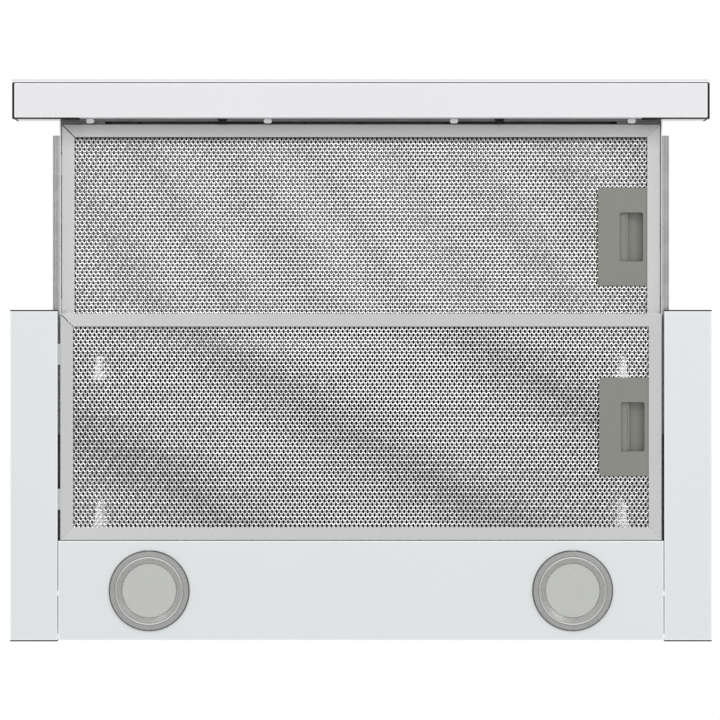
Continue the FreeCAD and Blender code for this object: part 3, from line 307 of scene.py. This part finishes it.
def turned_nickel(name, color, centre, rim):
    """Brushed nickel, grained about a lamp's axis, with a painted highlight on its ridge and painted
    shade at its rim.
    """
    g = Graph(name)
    from_centre = g.nodes.new("ShaderNodeVectorMath")
    from_centre.operation = "SUBTRACT"
    g.link(g.place, from_centre.inputs[0])
    from_centre.inputs[1].default_value = centre
    spot = g.parted(from_centre.outputs["Vector"])
    squared = g.math("ADD", g.math("MULTIPLY", spot["X"], spot["X"]),
                     g.math("MULTIPLY", spot["Y"], spot["Y"]))
    radius = g.math("SQRT", squared)
    angle = g.math("ARCTAN2", spot["Y"], spot["X"])
    ring = g.nodes.new("ShaderNodeCombineXYZ")
    g.link(g.math("MULTIPLY", radius, 3800.0), ring.inputs["X"])
    g.link(g.math("MULTIPLY", angle, 2.5), ring.inputs["Y"])
    streaks = g.nodes.new("ShaderNodeTexNoise")
    streaks.inputs["Scale"].default_value = 1.0
    streaks.inputs["Detail"].default_value = 3.0
    g.link(ring.outputs["Vector"], streaks.inputs["Vector"])
    grain = streaks.outputs["Fac"]
    tint = g.mix(g.ramp(grain, 0.0, 1.0, 0.3, 0.7), times(color, 0.80), color)
    speckle = g.ramp(g.noise(900.0, 1.0), 0.0, 1.0, 0.35, 0.65)
    tint = g.mix(speckle, tint, times(color, 1.12))
    # Painted highlight: the ridge's bright line is strongest at front and back, where it would reflect
    # the light.
    front_or_back = g.ramp(g.math("ABSOLUTE", g.math("SINE", angle)), 0.25, 1.0)
    for share, width, grey, fades in RING_SHADE_AND_HIGHLIGHT:
        away = g.math("ABSOLUTE", g.math("SUBTRACT", radius, share * rim))
        line = g.ramp(away, 1.0, 0.0, 0.3 * width, width)
        if fades:
            line = g.math("MULTIPLY", line, front_or_back)
        tint = g.mix(line, tint, (grey, grey, grey))
    rough = g.ramp(grain, 0.24, 0.38, 0.3, 0.7)
    normal = g.bump(grain, 0.00002, 0.3, g.soft_edges(0.0004))
    return g.finish(tint, rough, normal, 1.0)


def moulded_plastic(name, color, rough=0.45, texture=900.0, sheen=0.5):
    """Injection-moulded plastic with a fine spark-eroded texture and scuffed edges."""
    g = Graph(name)
    tone = g.noise(35.0, 3.0)
    tint = g.mix(tone, times(color, 0.92), times(color, 1.05))
    scuffed = tuple(min(1.0, part * 1.6 + 0.02) for part in color)
    tint = g.mix(g.math("MULTIPLY", g.edge_wear_and_highlight(0.0006), 0.25), tint, scuffed)
    roughness = g.ramp(g.noise(240.0, 3.0), rough - 0.06, rough + 0.08)
    normal = g.bump(g.noise(texture, 3.0), 0.00005, 0.4, g.soft_edges(0.0004))
    return g.finish(tint, roughness, normal, Specular_IOR_Level=sheen)


def glowing_nylon(name, color):
    """Milky nylon given a painted glow, standing in for light carried from the edges of the sheet above
    it.
    """
    g = Graph(name)
    tint = g.mix(g.noise(60.0, 3.0), times(color, 0.95), color)
    roughness = g.ramp(g.noise(300.0, 3.0), 0.35, 0.50)
    normal = g.bump(g.noise(900.0, 3.0), 0.00005, 0.4, g.soft_edges(0.0004))
    return g.finish(tint, roughness, normal,
                    Emission_Color=(1.0, 1.0, 1.0, 1.0), Emission_Strength=0.65)


def rubber(name, color):
    """Matt moulded rubber."""
    g = Graph(name)
    tone = g.noise(120.0, 4.0)
    tint = g.mix(tone, times(color, 0.7), times(color, 1.3))
    roughness = g.ramp(g.noise(300.0, 3.0), 0.62, 0.82)
    normal = g.bump(g.noise(1400.0, 3.0), 0.00006, 0.5)
    return g.finish(tint, roughness, normal, Specular_IOR_Level=0.2)


def frosted(name, color):
    """Sand-blasted diffuser: milky, with a fine speckle."""
    g = Graph(name)
    speckle = g.noise(1500.0, 3.0)
    tint = g.mix(g.ramp(speckle, 0.0, 1.0, 0.35, 0.65), times(color, 0.95), color)
    roughness = g.ramp(g.noise(500.0, 2.0), 0.42, 0.58)
    normal = g.bump(speckle, 0.00004, 0.4)
    return g.finish(tint, roughness, normal, Subsurface_Weight=0.25, Subsurface_Scale=0.002)


def bright_steel(name, color):
    """Drawn steel with a thin bright zinc plating."""
    g = Graph(name)
    grain = g.noise(1.0, 3.0, (1500, 90, 1500), 0.6)
    tint = g.mix(g.ramp(grain, 0.0, 1.0, 0.3, 0.7), times(color, 0.82), color)
    roughness = g.ramp(g.noise(180.0, 3.0), 0.26, 0.42)
    normal = g.bump(grain, 0.00002, 0.3, g.soft_edges(0.0003))
    return g.finish(tint, roughness, normal, 1.0)


def dress(material, *names):
    """Give CAD nodes a material in every slot."""
    for name in names:
        mesh = NODES[name].data
        if not mesh.materials:
            mesh.materials.append(material)
        for index in range(len(mesh.materials)):
            mesh.materials[index] = material


WHITE = (0.775, 0.805, 0.812)
FASCIA_WHITE = (0.805, 0.805, 0.83)
PLASTIC_WHITE = (0.78, 0.79, 0.79)
NYLON = (0.80, 0.81, 0.80)
ALUMINIUM = (0.84, 0.845, 0.845)
LIGHT_ALUMINIUM = (0.91, 0.915, 0.91)
SHADED_ZINC = (0.20, 0.20, 0.20)
ZINC = (0.37, 0.37, 0.365)
RAIL_ZINC = (0.56, 0.56, 0.555)
STEEL = (0.52, 0.52, 0.51)
NICKEL = (0.46, 0.46, 0.45)
DIFFUSER = (0.565, 0.57, 0.55)
GREY = (0.245, 0.250, 0.222)
BLACK = (0.012, 0.012, 0.012)
RUBBER = (0.015, 0.015, 0.015)
FAN_GREY = (0.16, 0.165, 0.17)


def dress_painted_parts():
    dress(white_paint("white_powder_coat", WHITE), "side_trim_left", "side_trim_right",
          "lamp_panel", "visor_side_left", "visor_side_right")
    dress(white_paint("white_fascia_paint", FASCIA_WHITE), "fascia_profile", "fascia_plate")


def dress_filter_frames():
    for place, color in (("front", LIGHT_ALUMINIUM), ("rear", ALUMINIUM)):
        low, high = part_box(place + "_filter_frame")
        low.x = -high.x
        bars = brushed_bars(place + "_frame_aluminium", color, low, high, place == "front")
        dress(bars, place + "_filter_frame")


def dress_zinc_sheets():
    dress(galvanised("galvanised_sheet", ZINC), "top_deck", "housing_shell",
          "housing_side_left", "housing_side_right", "visor_rear_bar")
    # Painted shade: the visor's front wall and cover in darker zinc, for the deep shade behind the
    # fascia and above the mesh.
    dress(galvanised("shaded_zinc_sheet", SHADED_ZINC), "visor_front_wall", "visor_cover")
    dress(galvanised("rail_zinc", RAIL_ZINC), "moving_rails", "fixed_rails")


def dress_lamps():
    for side in ("left", "right"):
        low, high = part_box("lamp_bezel_" + side)
        rim = (high.x - low.x) / 2
        dress(turned_nickel("nickel_" + side, NICKEL, (low + high) / 2, rim), "lamp_bezel_" + side)
    dress(frosted("lamp_diffuser", DIFFUSER), "lamp_lenses")


def dress_plastic_parts():
    dress(glowing_nylon("guide_nylon_painted_glow", NYLON), "deck_guides")
    dress(moulded_plastic("white_plastic", PLASTIC_WHITE, 0.38), "control_strip", "fascia_rivets",
          "button_light", "button_speed_1", "button_speed_2", "button_speed_3")
    dress(moulded_plastic("grey_plastic", GREY, 0.42), "front_latch_case", "rear_latch_case",
          "terminal_box", "terminal_lid", "led_driver")
    dress(moulded_plastic("latch_tab_plastic", times(GREY, 1.02), 0.40),
          "front_latch_slider", "rear_latch_slider")
    dress(moulded_plastic("black_plastic", BLACK, 0.55, sheen=0.2), "fascia_end_caps",
          "fascia_clips", "visor_switch", "switch_block", "cable_gland", "outlet_collar")
    dress(moulded_plastic("fan_plastic", FAN_GREY, 0.5, 500.0), "scroll_left", "scroll_right",
          "impeller", "flap_front", "flap_rear")
    dress(rubber("black_rubber", RUBBER), "end_buffers")


def dress_steel_parts():
    dress(bright_steel("zinc_plated_steel", STEEL), "housing_screws", "lamp_clips", "flap_pin",
          "motor", "motor_shaft", "motor_bracket", "front_latch_spring", "rear_latch_spring",
          "ball_cages", "lamp_bodies", "capacitor")


# ---------------------------------------------------------------- expanded-metal mesh
PITCH = 3.90 * MM           # between holes along a row
ROW = 3.022 * MM            # between rows of holes
HOLE_SIDE = 0.235           # half a hole's width, in pitches
HOLE_END = 0.565            # half its length, in rows
SHOULDER_SIDE = 0.195       # bend in the hole's outline, in pitches
SHOULDER_END = 0.40         # and in rows
BEHIND = 0.58               # front edge of a strand straight behind a hole, in rows
BESIDE = 0.12               # and beside it, where it crosses the bond
RISEN = 0.30                # where the right-hand slope stops short of that
STRAND = 0.13               # width of the strand's bright sheared face, in rows
FALLING = 0.21              # its width where it falls back towards the right
RISING = 0.165              # and where it comes forward again
FALLING_FROM = 0.42         # the left-hand slope's far and near ends, in pitches from the hole
FALLING_TO = 0.12
RISING_TO = 0.07            # and the right-hand slope's near and far ends
RISING_FROM = 0.35
TILT = 0.20 * MM            # how far that face's rear edge stands out below its front edge
GROOVE = 0.10 * MM          # depth of the crease along the middle of a bond
UNEVEN = 0.05 * MM          # how far the sheet wanders up and down
WAVES = ((2100.0, 900.0), (-500.0, 1300.0))     # along x and y in radians a metre
FOIL = 0.30 * MM            # how deep the walls of the lowest sheet's holes are
SPARE_COLUMNS = 12          # so that a stretched or sheared sheet still reaches every edge
SPARE_ROWS = 20
EDGE_SIDE = 0.52            # least distance of a hole's centre from the filter's edge, in pitches
EDGE_END = 0.80             # and in rows
CASE_APART = 0.15           # how far hole centres keep from the latch case, in pitches
WELD = 0.0001 * MM          # corners nearer than this are one
BRIGHT = 0                  # material slots of a sheet
DULL = 1
SHADED = 2                  # a bond's left-hand, stretched part, darkened as painted shade

# The faces of half a cell: the names of their corners, and their slot
METAL = (
    (("front", "front_near", "shoulder_front", "hole_front"), DULL),
    (("front_near", "front_far", "shoulder_front", "shoulder_front"), DULL),
    (("front_far", "side_front", "side_middle", "hole_side"), SHADED),
    (("front_far", "hole_side", "shoulder_front", "shoulder_front"), DULL),
    (("side_middle", "side_rear", "far_front", "hole_side"), SHADED),
    (("far_front", "near_front", "shoulder_rear", "hole_side"), DULL),
    (("near_front", "strand_front", "hole_rear", "shoulder_rear"), DULL),
    (("side_rear", "side_strand", "far_rear", "far_front"), DULL),
    (("far_front", "far_rear", "near_rear", "near_front"), BRIGHT),
    (("near_front", "near_rear", "strand_rear", "strand_front"), BRIGHT),
)
HOLE_OUTLINE = ("hole_front", "shoulder_front", "hole_side", "shoulder_rear", "hole_rear")


def strand_bends(side):
    """The far and near bends of the strand's front edge beside a hole, and its width there."""
    if side < 0:
        return (-FALLING_FROM, BESIDE), (-FALLING_TO, BEHIND), FALLING
    return (RISING_FROM, RISEN), (RISING_TO, BEHIND), RISING


def cell_corners(side):
    """One half of a cell, seen from its hole's centre: pitches across, rows back, metres up."""
    far, near, width = strand_bends(side)
    ahead_far, ahead_near, ahead_width = strand_bends(-side)
    high = TILT / 2
    low = -TILT / 2
    return {
        "front": (0.0, BESIDE + STRAND - 1.0, low),
        "front_near": (ahead_far[0] + 0.5 * side, ahead_far[1] + ahead_width - 1.0, low),
        "front_far": (ahead_near[0] + 0.5 * side, ahead_near[1] + (ahead_width + STRAND) / 2 - 1.0, low),
        "side_front": (0.5 * side, BEHIND + STRAND - 1.0, low),
        "side_middle": (0.5 * side, 0.0, GROOVE),
        "side_rear": (0.5 * side, BESIDE, high),
        "side_strand": (0.5 * side, BESIDE + STRAND, low),
        "far_front": (*far, high),
        "far_rear": (far[0], far[1] + width, low),
        "near_front": (*near, high),
        "near_rear": (near[0], near[1] + (width + STRAND) / 2, low),
        "strand_front": (0.0, BEHIND, high),
        "strand_rear": (0.0, BEHIND + STRAND, low),
        "hole_front": (0.0, -HOLE_END, low),
        "shoulder_front": (SHOULDER_SIDE * side, -SHOULDER_END, low / 2),
        "hole_side": (HOLE_SIDE * side, 0.0, 0.0),
        "shoulder_rear": (SHOULDER_SIDE * side, SHOULDER_END, high / 2),
        "hole_rear": (0.0, HOLE_END, high),
    }


def hole_centres(low, high, hollow, strain, shift):
    """Centres of the holes of a sheet between two corners, outside the box hollow."""
    columns = int((high.x - low.x) / PITCH) + SPARE_COLUMNS
    rows = int((high.y - low.y) / ROW) + SPARE_ROWS
    across, back = np.meshgrid(np.arange(columns), np.arange(rows))
    dx = (across.ravel() - (columns - 1) / 2 + 0.5 * (back.ravel() % 2) + shift[0]) * PITCH
    dy = (back.ravel() - (rows - 1) / 2 + shift[1]) * ROW
    x = (low.x + high.x) / 2 + dx + strain[0] * dx + strain[1] * dy
    y = (low.y + high.y) / 2 + dy + strain[2] * dx + strain[3] * dy
    edge_x = EDGE_SIDE * PITCH
    edge_y = EDGE_END * ROW
    inside = (x > low.x + edge_x) & (x < high.x - edge_x)
    inside &= (y > low.y + edge_y) & (y < high.y - edge_y)
    apart = CASE_APART * PITCH
    kept_clear = (x > hollow[0].x - apart) & (y > hollow[0].y - apart) & (y < hollow[1].y + apart)
    inside &= ~kept_clear
    return x[inside], y[inside]


def pushed_out(x, y, centre_x, centre_y, hollow):
    """Corners that reach into the box hollow are moved back to its nearest side."""
    inside = (x > hollow[0].x) & (y > hollow[0].y) & (y < hollow[1].y)
    left_of = inside & (centre_x < hollow[0].x)
    in_front = inside & ~left_of & (centre_y < hollow[0].y)
    behind = inside & ~left_of & (centre_y > hollow[1].y)
    x = np.where(left_of, hollow[0].x, x)
    y = np.where(in_front, hollow[0].y, y)
    y = np.where(behind, hollow[1].y, y)
    return x, y


def half_cells(x, y, z, side, hollow, strain, walls):
    """The faces on one side of every hole: arrays of corners, and the slot of each face."""
    corners = cell_corners(side)

    def place(name, up=0.0):
        across, back, out = corners[name]
        dx = across * PITCH
        dy = back * ROW
        px, py = pushed_out(x + dx + strain[0] * dx + strain[1] * dy,
                            y + dy + strain[2] * dx + strain[3] * dy, x, y, hollow)
        (first_x, first_y), (second_x, second_y) = WAVES
        wavy = np.sin(first_x * px + first_y * py) * np.sin(second_y * py + second_x * px)
        return np.stack([px, py, z + out + up + UNEVEN * wavy], axis=1)

    faces = []
    for names, slot in METAL:
        if slot == SHADED and side > 0:
            slot = DULL
        faces.append(([place(name) for name in names], slot))
    if walls:
        for first, second in zip(HOLE_OUTLINE, HOLE_OUTLINE[1:]):
            faces.append(([place(first), place(second), place(second, FOIL), place(first, FOIL)], DULL))
    turn = -1 if side > 0 else 1
    return [(np.stack(ring[::turn], axis=1), np.full(len(x), slot)) for ring, slot in faces]


def welded(rings):
    """Single corners shared by four-cornered rings, and the faces by their corners' numbers."""
    points = np.concatenate(rings).reshape(-1, 3)
    steps = np.round(points / WELD).astype(np.int64)
    unique, numbers = np.unique(steps, axis=0, return_inverse=True)
    faces = [list(dict.fromkeys(face)) for face in numbers.reshape(-1, 4).tolist()]
    return unique * WELD, faces


def expanded_sheet(name, x, y, z, hollow, strain, materials, walls):
    """A sheet with a tall hole at every x, y, a bright strand behind it and dull bonds beside it."""
    halves = half_cells(x, y, z, -1, hollow, strain, walls)
    halves += half_cells(x, y, z, 1, hollow, strain, walls)
    points, faces = welded([ring for ring, slots in halves])
    slots = np.concatenate([slots for ring, slots in halves])
    whole = [index for index, face in enumerate(faces) if len(face) > 2]
    mesh = bpy.data.meshes.new(name)
    mesh.from_pydata(points.tolist(), [], [faces[index] for index in whole])
    mesh.polygons.foreach_set("material_index", slots[whole].astype(np.int32))
    for material in materials:
        mesh.materials.append(material)
    mesh.update()
    piece = bpy.data.objects.new(name, mesh)
    bpy.context.scene.collection.objects.link(piece)
    return piece


# The sheets above the lowest one: height over the mesh's underside, strain (xx, xy, yx, yy)
# against the lowest sheet, and shift in cells
INNER_SHEETS = {
    "front": ((2.0 * MM, (0.0230, -0.0150, -0.0353, 0.0231), (0.1, 0.2)),
              (4.0 * MM, (-0.0120, 0.0200, 0.0100, -0.0150), (0.4, 0.5)),
              (6.2 * MM, (0.0060, 0.0080, -0.0120, 0.0100), (0.3, 0.0))),
    "rear": ((2.0 * MM, (-0.0045, 0.0084, -0.0069, 0.0129), (0.0, 0.1)),
             (6.2 * MM, (0.0, 0.0, 0.0, 0.0), (0.0, 0.0))),
}
# The colours of their strands and of their bonds, darkened as painted shade
INNER_SHADED_METAL = {
    "front": ((0.42, 0.42, 0.415), (0.22, 0.22, 0.22)),
    "rear": ((0.06, 0.06, 0.06), (0.015, 0.015, 0.015)),
}
# The soft bands of painted shade, seen where stacked holes fall out of step: a point on one, its lean,
# their spacing, a band's half width as a share of that, and the share of the colour left in its middle
SHADE_BANDS = {
    "front": (20.0 * MM, -170.0 * MM, 0.62, 71.0 * MM, 0.36, 0.89),
    "rear": (5.0 * MM, -29.5 * MM, 1.73, 232.0 * MM, 0.32, 0.74),
}
NO_STRAIN = (0.0, 0.0, 0.0, 0.0)
SET_IN = 0.9 * MM           # how far the mesh is let into the latch case's walls

GUIDE_TIP = 3.4 * MM        # a deck guide's width at its front end
GUIDE_BACK = 10.4 * MM      # and at its rear end
GUIDE_LENGTH = 25.0 * MM


def over_guides(x, y):
    """Which places lie across one of the deck's white guides, narrow in front and wide behind.

    The inner sheets are cut away there, so that the guides show through the mesh.
    """
    low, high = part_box("deck_guides")
    left = np.abs(x - low.x - GUIDE_BACK / 2)
    right = np.abs(x - high.x + GUIDE_BACK / 2)
    behind = np.where(y < low.y + GUIDE_LENGTH, y - low.y, y - high.y + GUIDE_LENGTH)
    share = behind / GUIDE_LENGTH
    half = (GUIDE_TIP + (GUIDE_BACK - GUIDE_TIP) * share) / 2
    return (share >= 0) & (share <= 1) & (np.minimum(left, right) < half + 0.3 * PITCH)


LOWEST_PARTS = 3            # pieces a sheet is divided into, so that none is too heavy to export
INNER_PARTS = 2
LOWEST_UP = 0.4 * MM        # the lowest sheet, above the underside of the mesh


def in_parts(x, count):
    """The places of a sheet in bands from left to right: a number and which places are in it."""
    edges = np.linspace(x.min(), x.max() + PITCH, count + 1)
    return [(number + 1, (x >= edges[number]) & (x < edges[number + 1])) for number in range(count)]


def filter_metals(place, front):
    """The materials of the lowest, inner and uppermost sheets, each in the order of their slots."""
    looks = (SHADE_BANDS[place], front)
    # Painted light and shade: one foil in three colours, lightest on the strand's sheared face, darkest
    # on a bond's left-hand part.
    lowest = [mesh_metal(place + "_mesh_strand", (0.95, 0.95, 0.945), 0.20, 0.32, *looks),
              mesh_metal(place + "_mesh_bond", (0.64, 0.64, 0.635), 0.34, 0.48, *looks),
              mesh_metal(place + "_mesh_shaded_bond", (0.38, 0.38, 0.375), 0.38, 0.52, *looks)]
    # Painted shade: the inner and uppermost sheets are the same foil in darker colours.
    strand_color, bond_color = INNER_SHADED_METAL[place]
    strand = mesh_metal(place + "_mesh_inner_strand", strand_color, 0.32, 0.45, *looks)
    bond = mesh_metal(place + "_mesh_inner_bond", bond_color, 0.38, 0.52, *looks)
    upper = mesh_metal(place + "_mesh_upper", (0.50, 0.50, 0.495), 0.34, 0.48, *looks)
    return lowest, [strand, bond, bond], [upper, upper, upper]


def filter_mesh(place, body):
    """The stack of expanded sheets in one filter: a crisp lower one and duller ones above it, darkened
    as painted shade.
    """
    node = place + "_filter_mesh"
    low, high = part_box(node)
    case_low, case_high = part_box(place + "_latch_case")
    inset = Vector((SET_IN, SET_IN, 0))
    hollow = (case_low + inset, case_high - inset)
    lowest, inner, upper = filter_metals(place, low.y if place == "front" else None)
    highest = len(INNER_SHEETS[place]) - 1
    pieces = []
    x, y = hole_centres(low, high, hollow, NO_STRAIN, (0.0, 0.0))
    for number, chosen in in_parts(x, LOWEST_PARTS):
        pieces.append(expanded_sheet(f"{place}_mesh_lowest_{number}", x[chosen], y[chosen],
                                     low.z + LOWEST_UP, hollow, NO_STRAIN, lowest, True))
    for index, (height, strain, shift) in enumerate(INNER_SHEETS[place]):
        x, y = hole_centres(low, high, hollow, strain, shift)
        kept = ~over_guides(x, y)
        x = x[kept]
        y = y[kept]
        metal = upper if index == highest else inner
        for number, chosen in in_parts(x, INNER_PARTS):
            name = f"{place}_mesh_sheet_{index + 2}_{number}"
            pieces.append(expanded_sheet(name, x[chosen], y[chosen], low.z + height,
                                         hollow, strain, metal, False))
    for piece in pieces:
        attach(piece, body)
        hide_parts(node)


# ---------------------------------------------------------------- latch springs
SPRING_WIRE = 0.3 * MM      # radius of the wire
SPRING_TURNS = 5
SPRING_STEPS = 16           # points to a turn
WIRE_SIDES = 8


def coil(low, high):
    """Corners and faces of a wire coil along x that fills the box between two corners."""
    middle = (low + high) / 2
    coil_radius = (high.y - low.y) / 2 - SPRING_WIRE
    start = low.x + SPRING_WIRE
    length = high.x - low.x - 2 * SPRING_WIRE
    count = SPRING_TURNS * SPRING_STEPS + 1
    points = []
    faces = []
    for step in range(count):
        turn = 2 * math.pi * step / SPRING_STEPS
        for side in range(WIRE_SIDES):
            around = 2 * math.pi * side / WIRE_SIDES
            reach = coil_radius + SPRING_WIRE * math.cos(around)
            points.append((start + length * step / (count - 1) + SPRING_WIRE * math.sin(around),
                           middle.y + reach * math.cos(turn), middle.z + reach * math.sin(turn)))
    for step in range(count - 1):
        for side in range(WIRE_SIDES):
            first = step * WIRE_SIDES + side
            second = step * WIRE_SIDES + (side + 1) % WIRE_SIDES
            faces.append((first, second, second + WIRE_SIDES, first + WIRE_SIDES))
    faces.append(tuple(range(WIRE_SIDES))[::-1])
    faces.append(tuple(range((count - 1) * WIRE_SIDES, count * WIRE_SIDES)))
    return points, faces


def latch_spring(place, body):
    """Coil spring of one latch, at one fixed length; the real one shortens as the slider is drawn back.
    """
    node = place + "_latch_spring"
    low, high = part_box(node)
    points, faces = coil(low, high)
    mesh = bpy.data.meshes.new(place + "_spring_coil")
    mesh.from_pydata(points, [], faces)
    mesh.materials.append(NODES[node].data.materials[0])
    for polygon in mesh.polygons:
        polygon.use_smooth = True
    spring = bpy.data.objects.new(place + "_spring_coil", mesh)
    bpy.context.scene.collection.objects.link(spring)
    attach(spring, body)
    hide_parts(node)
    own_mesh(spring)


# ---------------------------------------------------------------- stage, light and camera
CAMERA_BELOW = 2.0          # metres from the camera to the hood's lower face
FRAMED_WIDTH = 615.6 * MM   # what the picture's width covers at that face
CAMERA_ASIDE = -0.8 * MM    # from the hood's middle
CAMERA_BACK = 0.3 * MM
SENSOR = 36.0               # millimetres, as Blender takes a lens
FLOOR_HALF = 7.0            # half the floor's side, in metres
FLOOR_DROP = 3.4            # how far the floor lies under the object
LIT_SPOT = (0.0, -0.1, 0.0)


def add_camera():
    """Straight below the hood, looking up at it, with the fascia at the top of the picture."""
    low, high = CAD_BOX
    camera_data = bpy.data.cameras.new("camera")
    camera_data.sensor_width = SENSOR
    camera_data.lens = SENSOR * CAMERA_BELOW / FRAMED_WIDTH
    camera = bpy.data.objects.new("camera", camera_data)
    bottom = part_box("side_trim_left")[0].z
    middle_y = (low.y + high.y) / 2
    place = Vector((CAMERA_ASIDE, middle_y + CAMERA_BACK, bottom - CAMERA_BELOW))
    turned = Matrix(((1, 0, 0), (0, -1, 0), (0, 0, -1))).to_4x4()
    camera.matrix_world = Matrix.Translation(place) @ turned
    bpy.context.scene.collection.objects.link(camera)
    bpy.context.scene.camera = camera


def add_floor():
    """Plain pale floor, far enough below for the camera to stand above it."""
    mesh = bpy.data.meshes.new("floor")
    level = CAD_BOX[0].z - FLOOR_DROP
    signs = ((-1, -1), (1, -1), (1, 1), (-1, 1))
    corners = [(FLOOR_HALF * x, FLOOR_HALF * y, level) for x, y in signs]
    mesh.from_pydata(corners, [], [(0, 1, 2, 3)])
    floor = bpy.data.objects.new("floor", mesh)
    bpy.context.scene.collection.objects.link(floor)
    g = Graph("pale_floor")
    tint = g.mix(g.noise(1.5, 3.0), (0.70, 0.70, 0.70), (0.76, 0.76, 0.76))
    floor.data.materials.append(g.finish(tint, 0.8, g.bump(g.noise(40.0, 3.0), 0.001, 0.2)))


def add_light(name, place, width, height, watts):
    """Soft rectangular light aimed at the hood."""
    data = bpy.data.lights.new(name, "AREA")
    data.shape = "RECTANGLE"
    data.size = width
    data.size_y = height
    data.energy = watts
    light = bpy.data.objects.new(name, data)
    light.location = place
    way = Vector(LIT_SPOT) - Vector(place)
    light.rotation_euler = way.to_track_quat("-Z", "Y").to_euler()
    bpy.context.scene.collection.objects.link(light)


def add_lights():
    """White surroundings, a key light from the front right and a fill from the front left."""
    world = bpy.data.worlds.new("white_studio")
    world.use_nodes = True
    world.node_tree.nodes["Background"].inputs["Color"].default_value = (1.0, 1.0, 1.0, 1.0)
    world.node_tree.nodes["Background"].inputs["Strength"].default_value = 1.0
    bpy.context.scene.world = world
    add_light("key_front_right", (1.62, -1.79, -1.5), 1.3, 0.9, 18.0)
    add_light("fill_front_left", (-1.3, -2.0, -1.5), 1.1, 0.9, 12.0)


def set_colours():
    view = bpy.context.scene.view_settings
    view.view_transform = "Standard"
    view.look = "None"
    view.exposure = 0.0
    view.gamma = 1.0


# ---------------------------------------------------------------- everything
add_camera()
add_floor()
add_lights()
set_colours()
dress_painted_parts()
dress_filter_frames()
dress_zinc_sheets()
dress_lamps()
dress_plastic_parts()
dress_steel_parts()
filter_mesh("front", "visor")
filter_mesh("rear", "rear_filter")
latch_spring("front", "visor")
latch_spring("rear", "rear_filter")
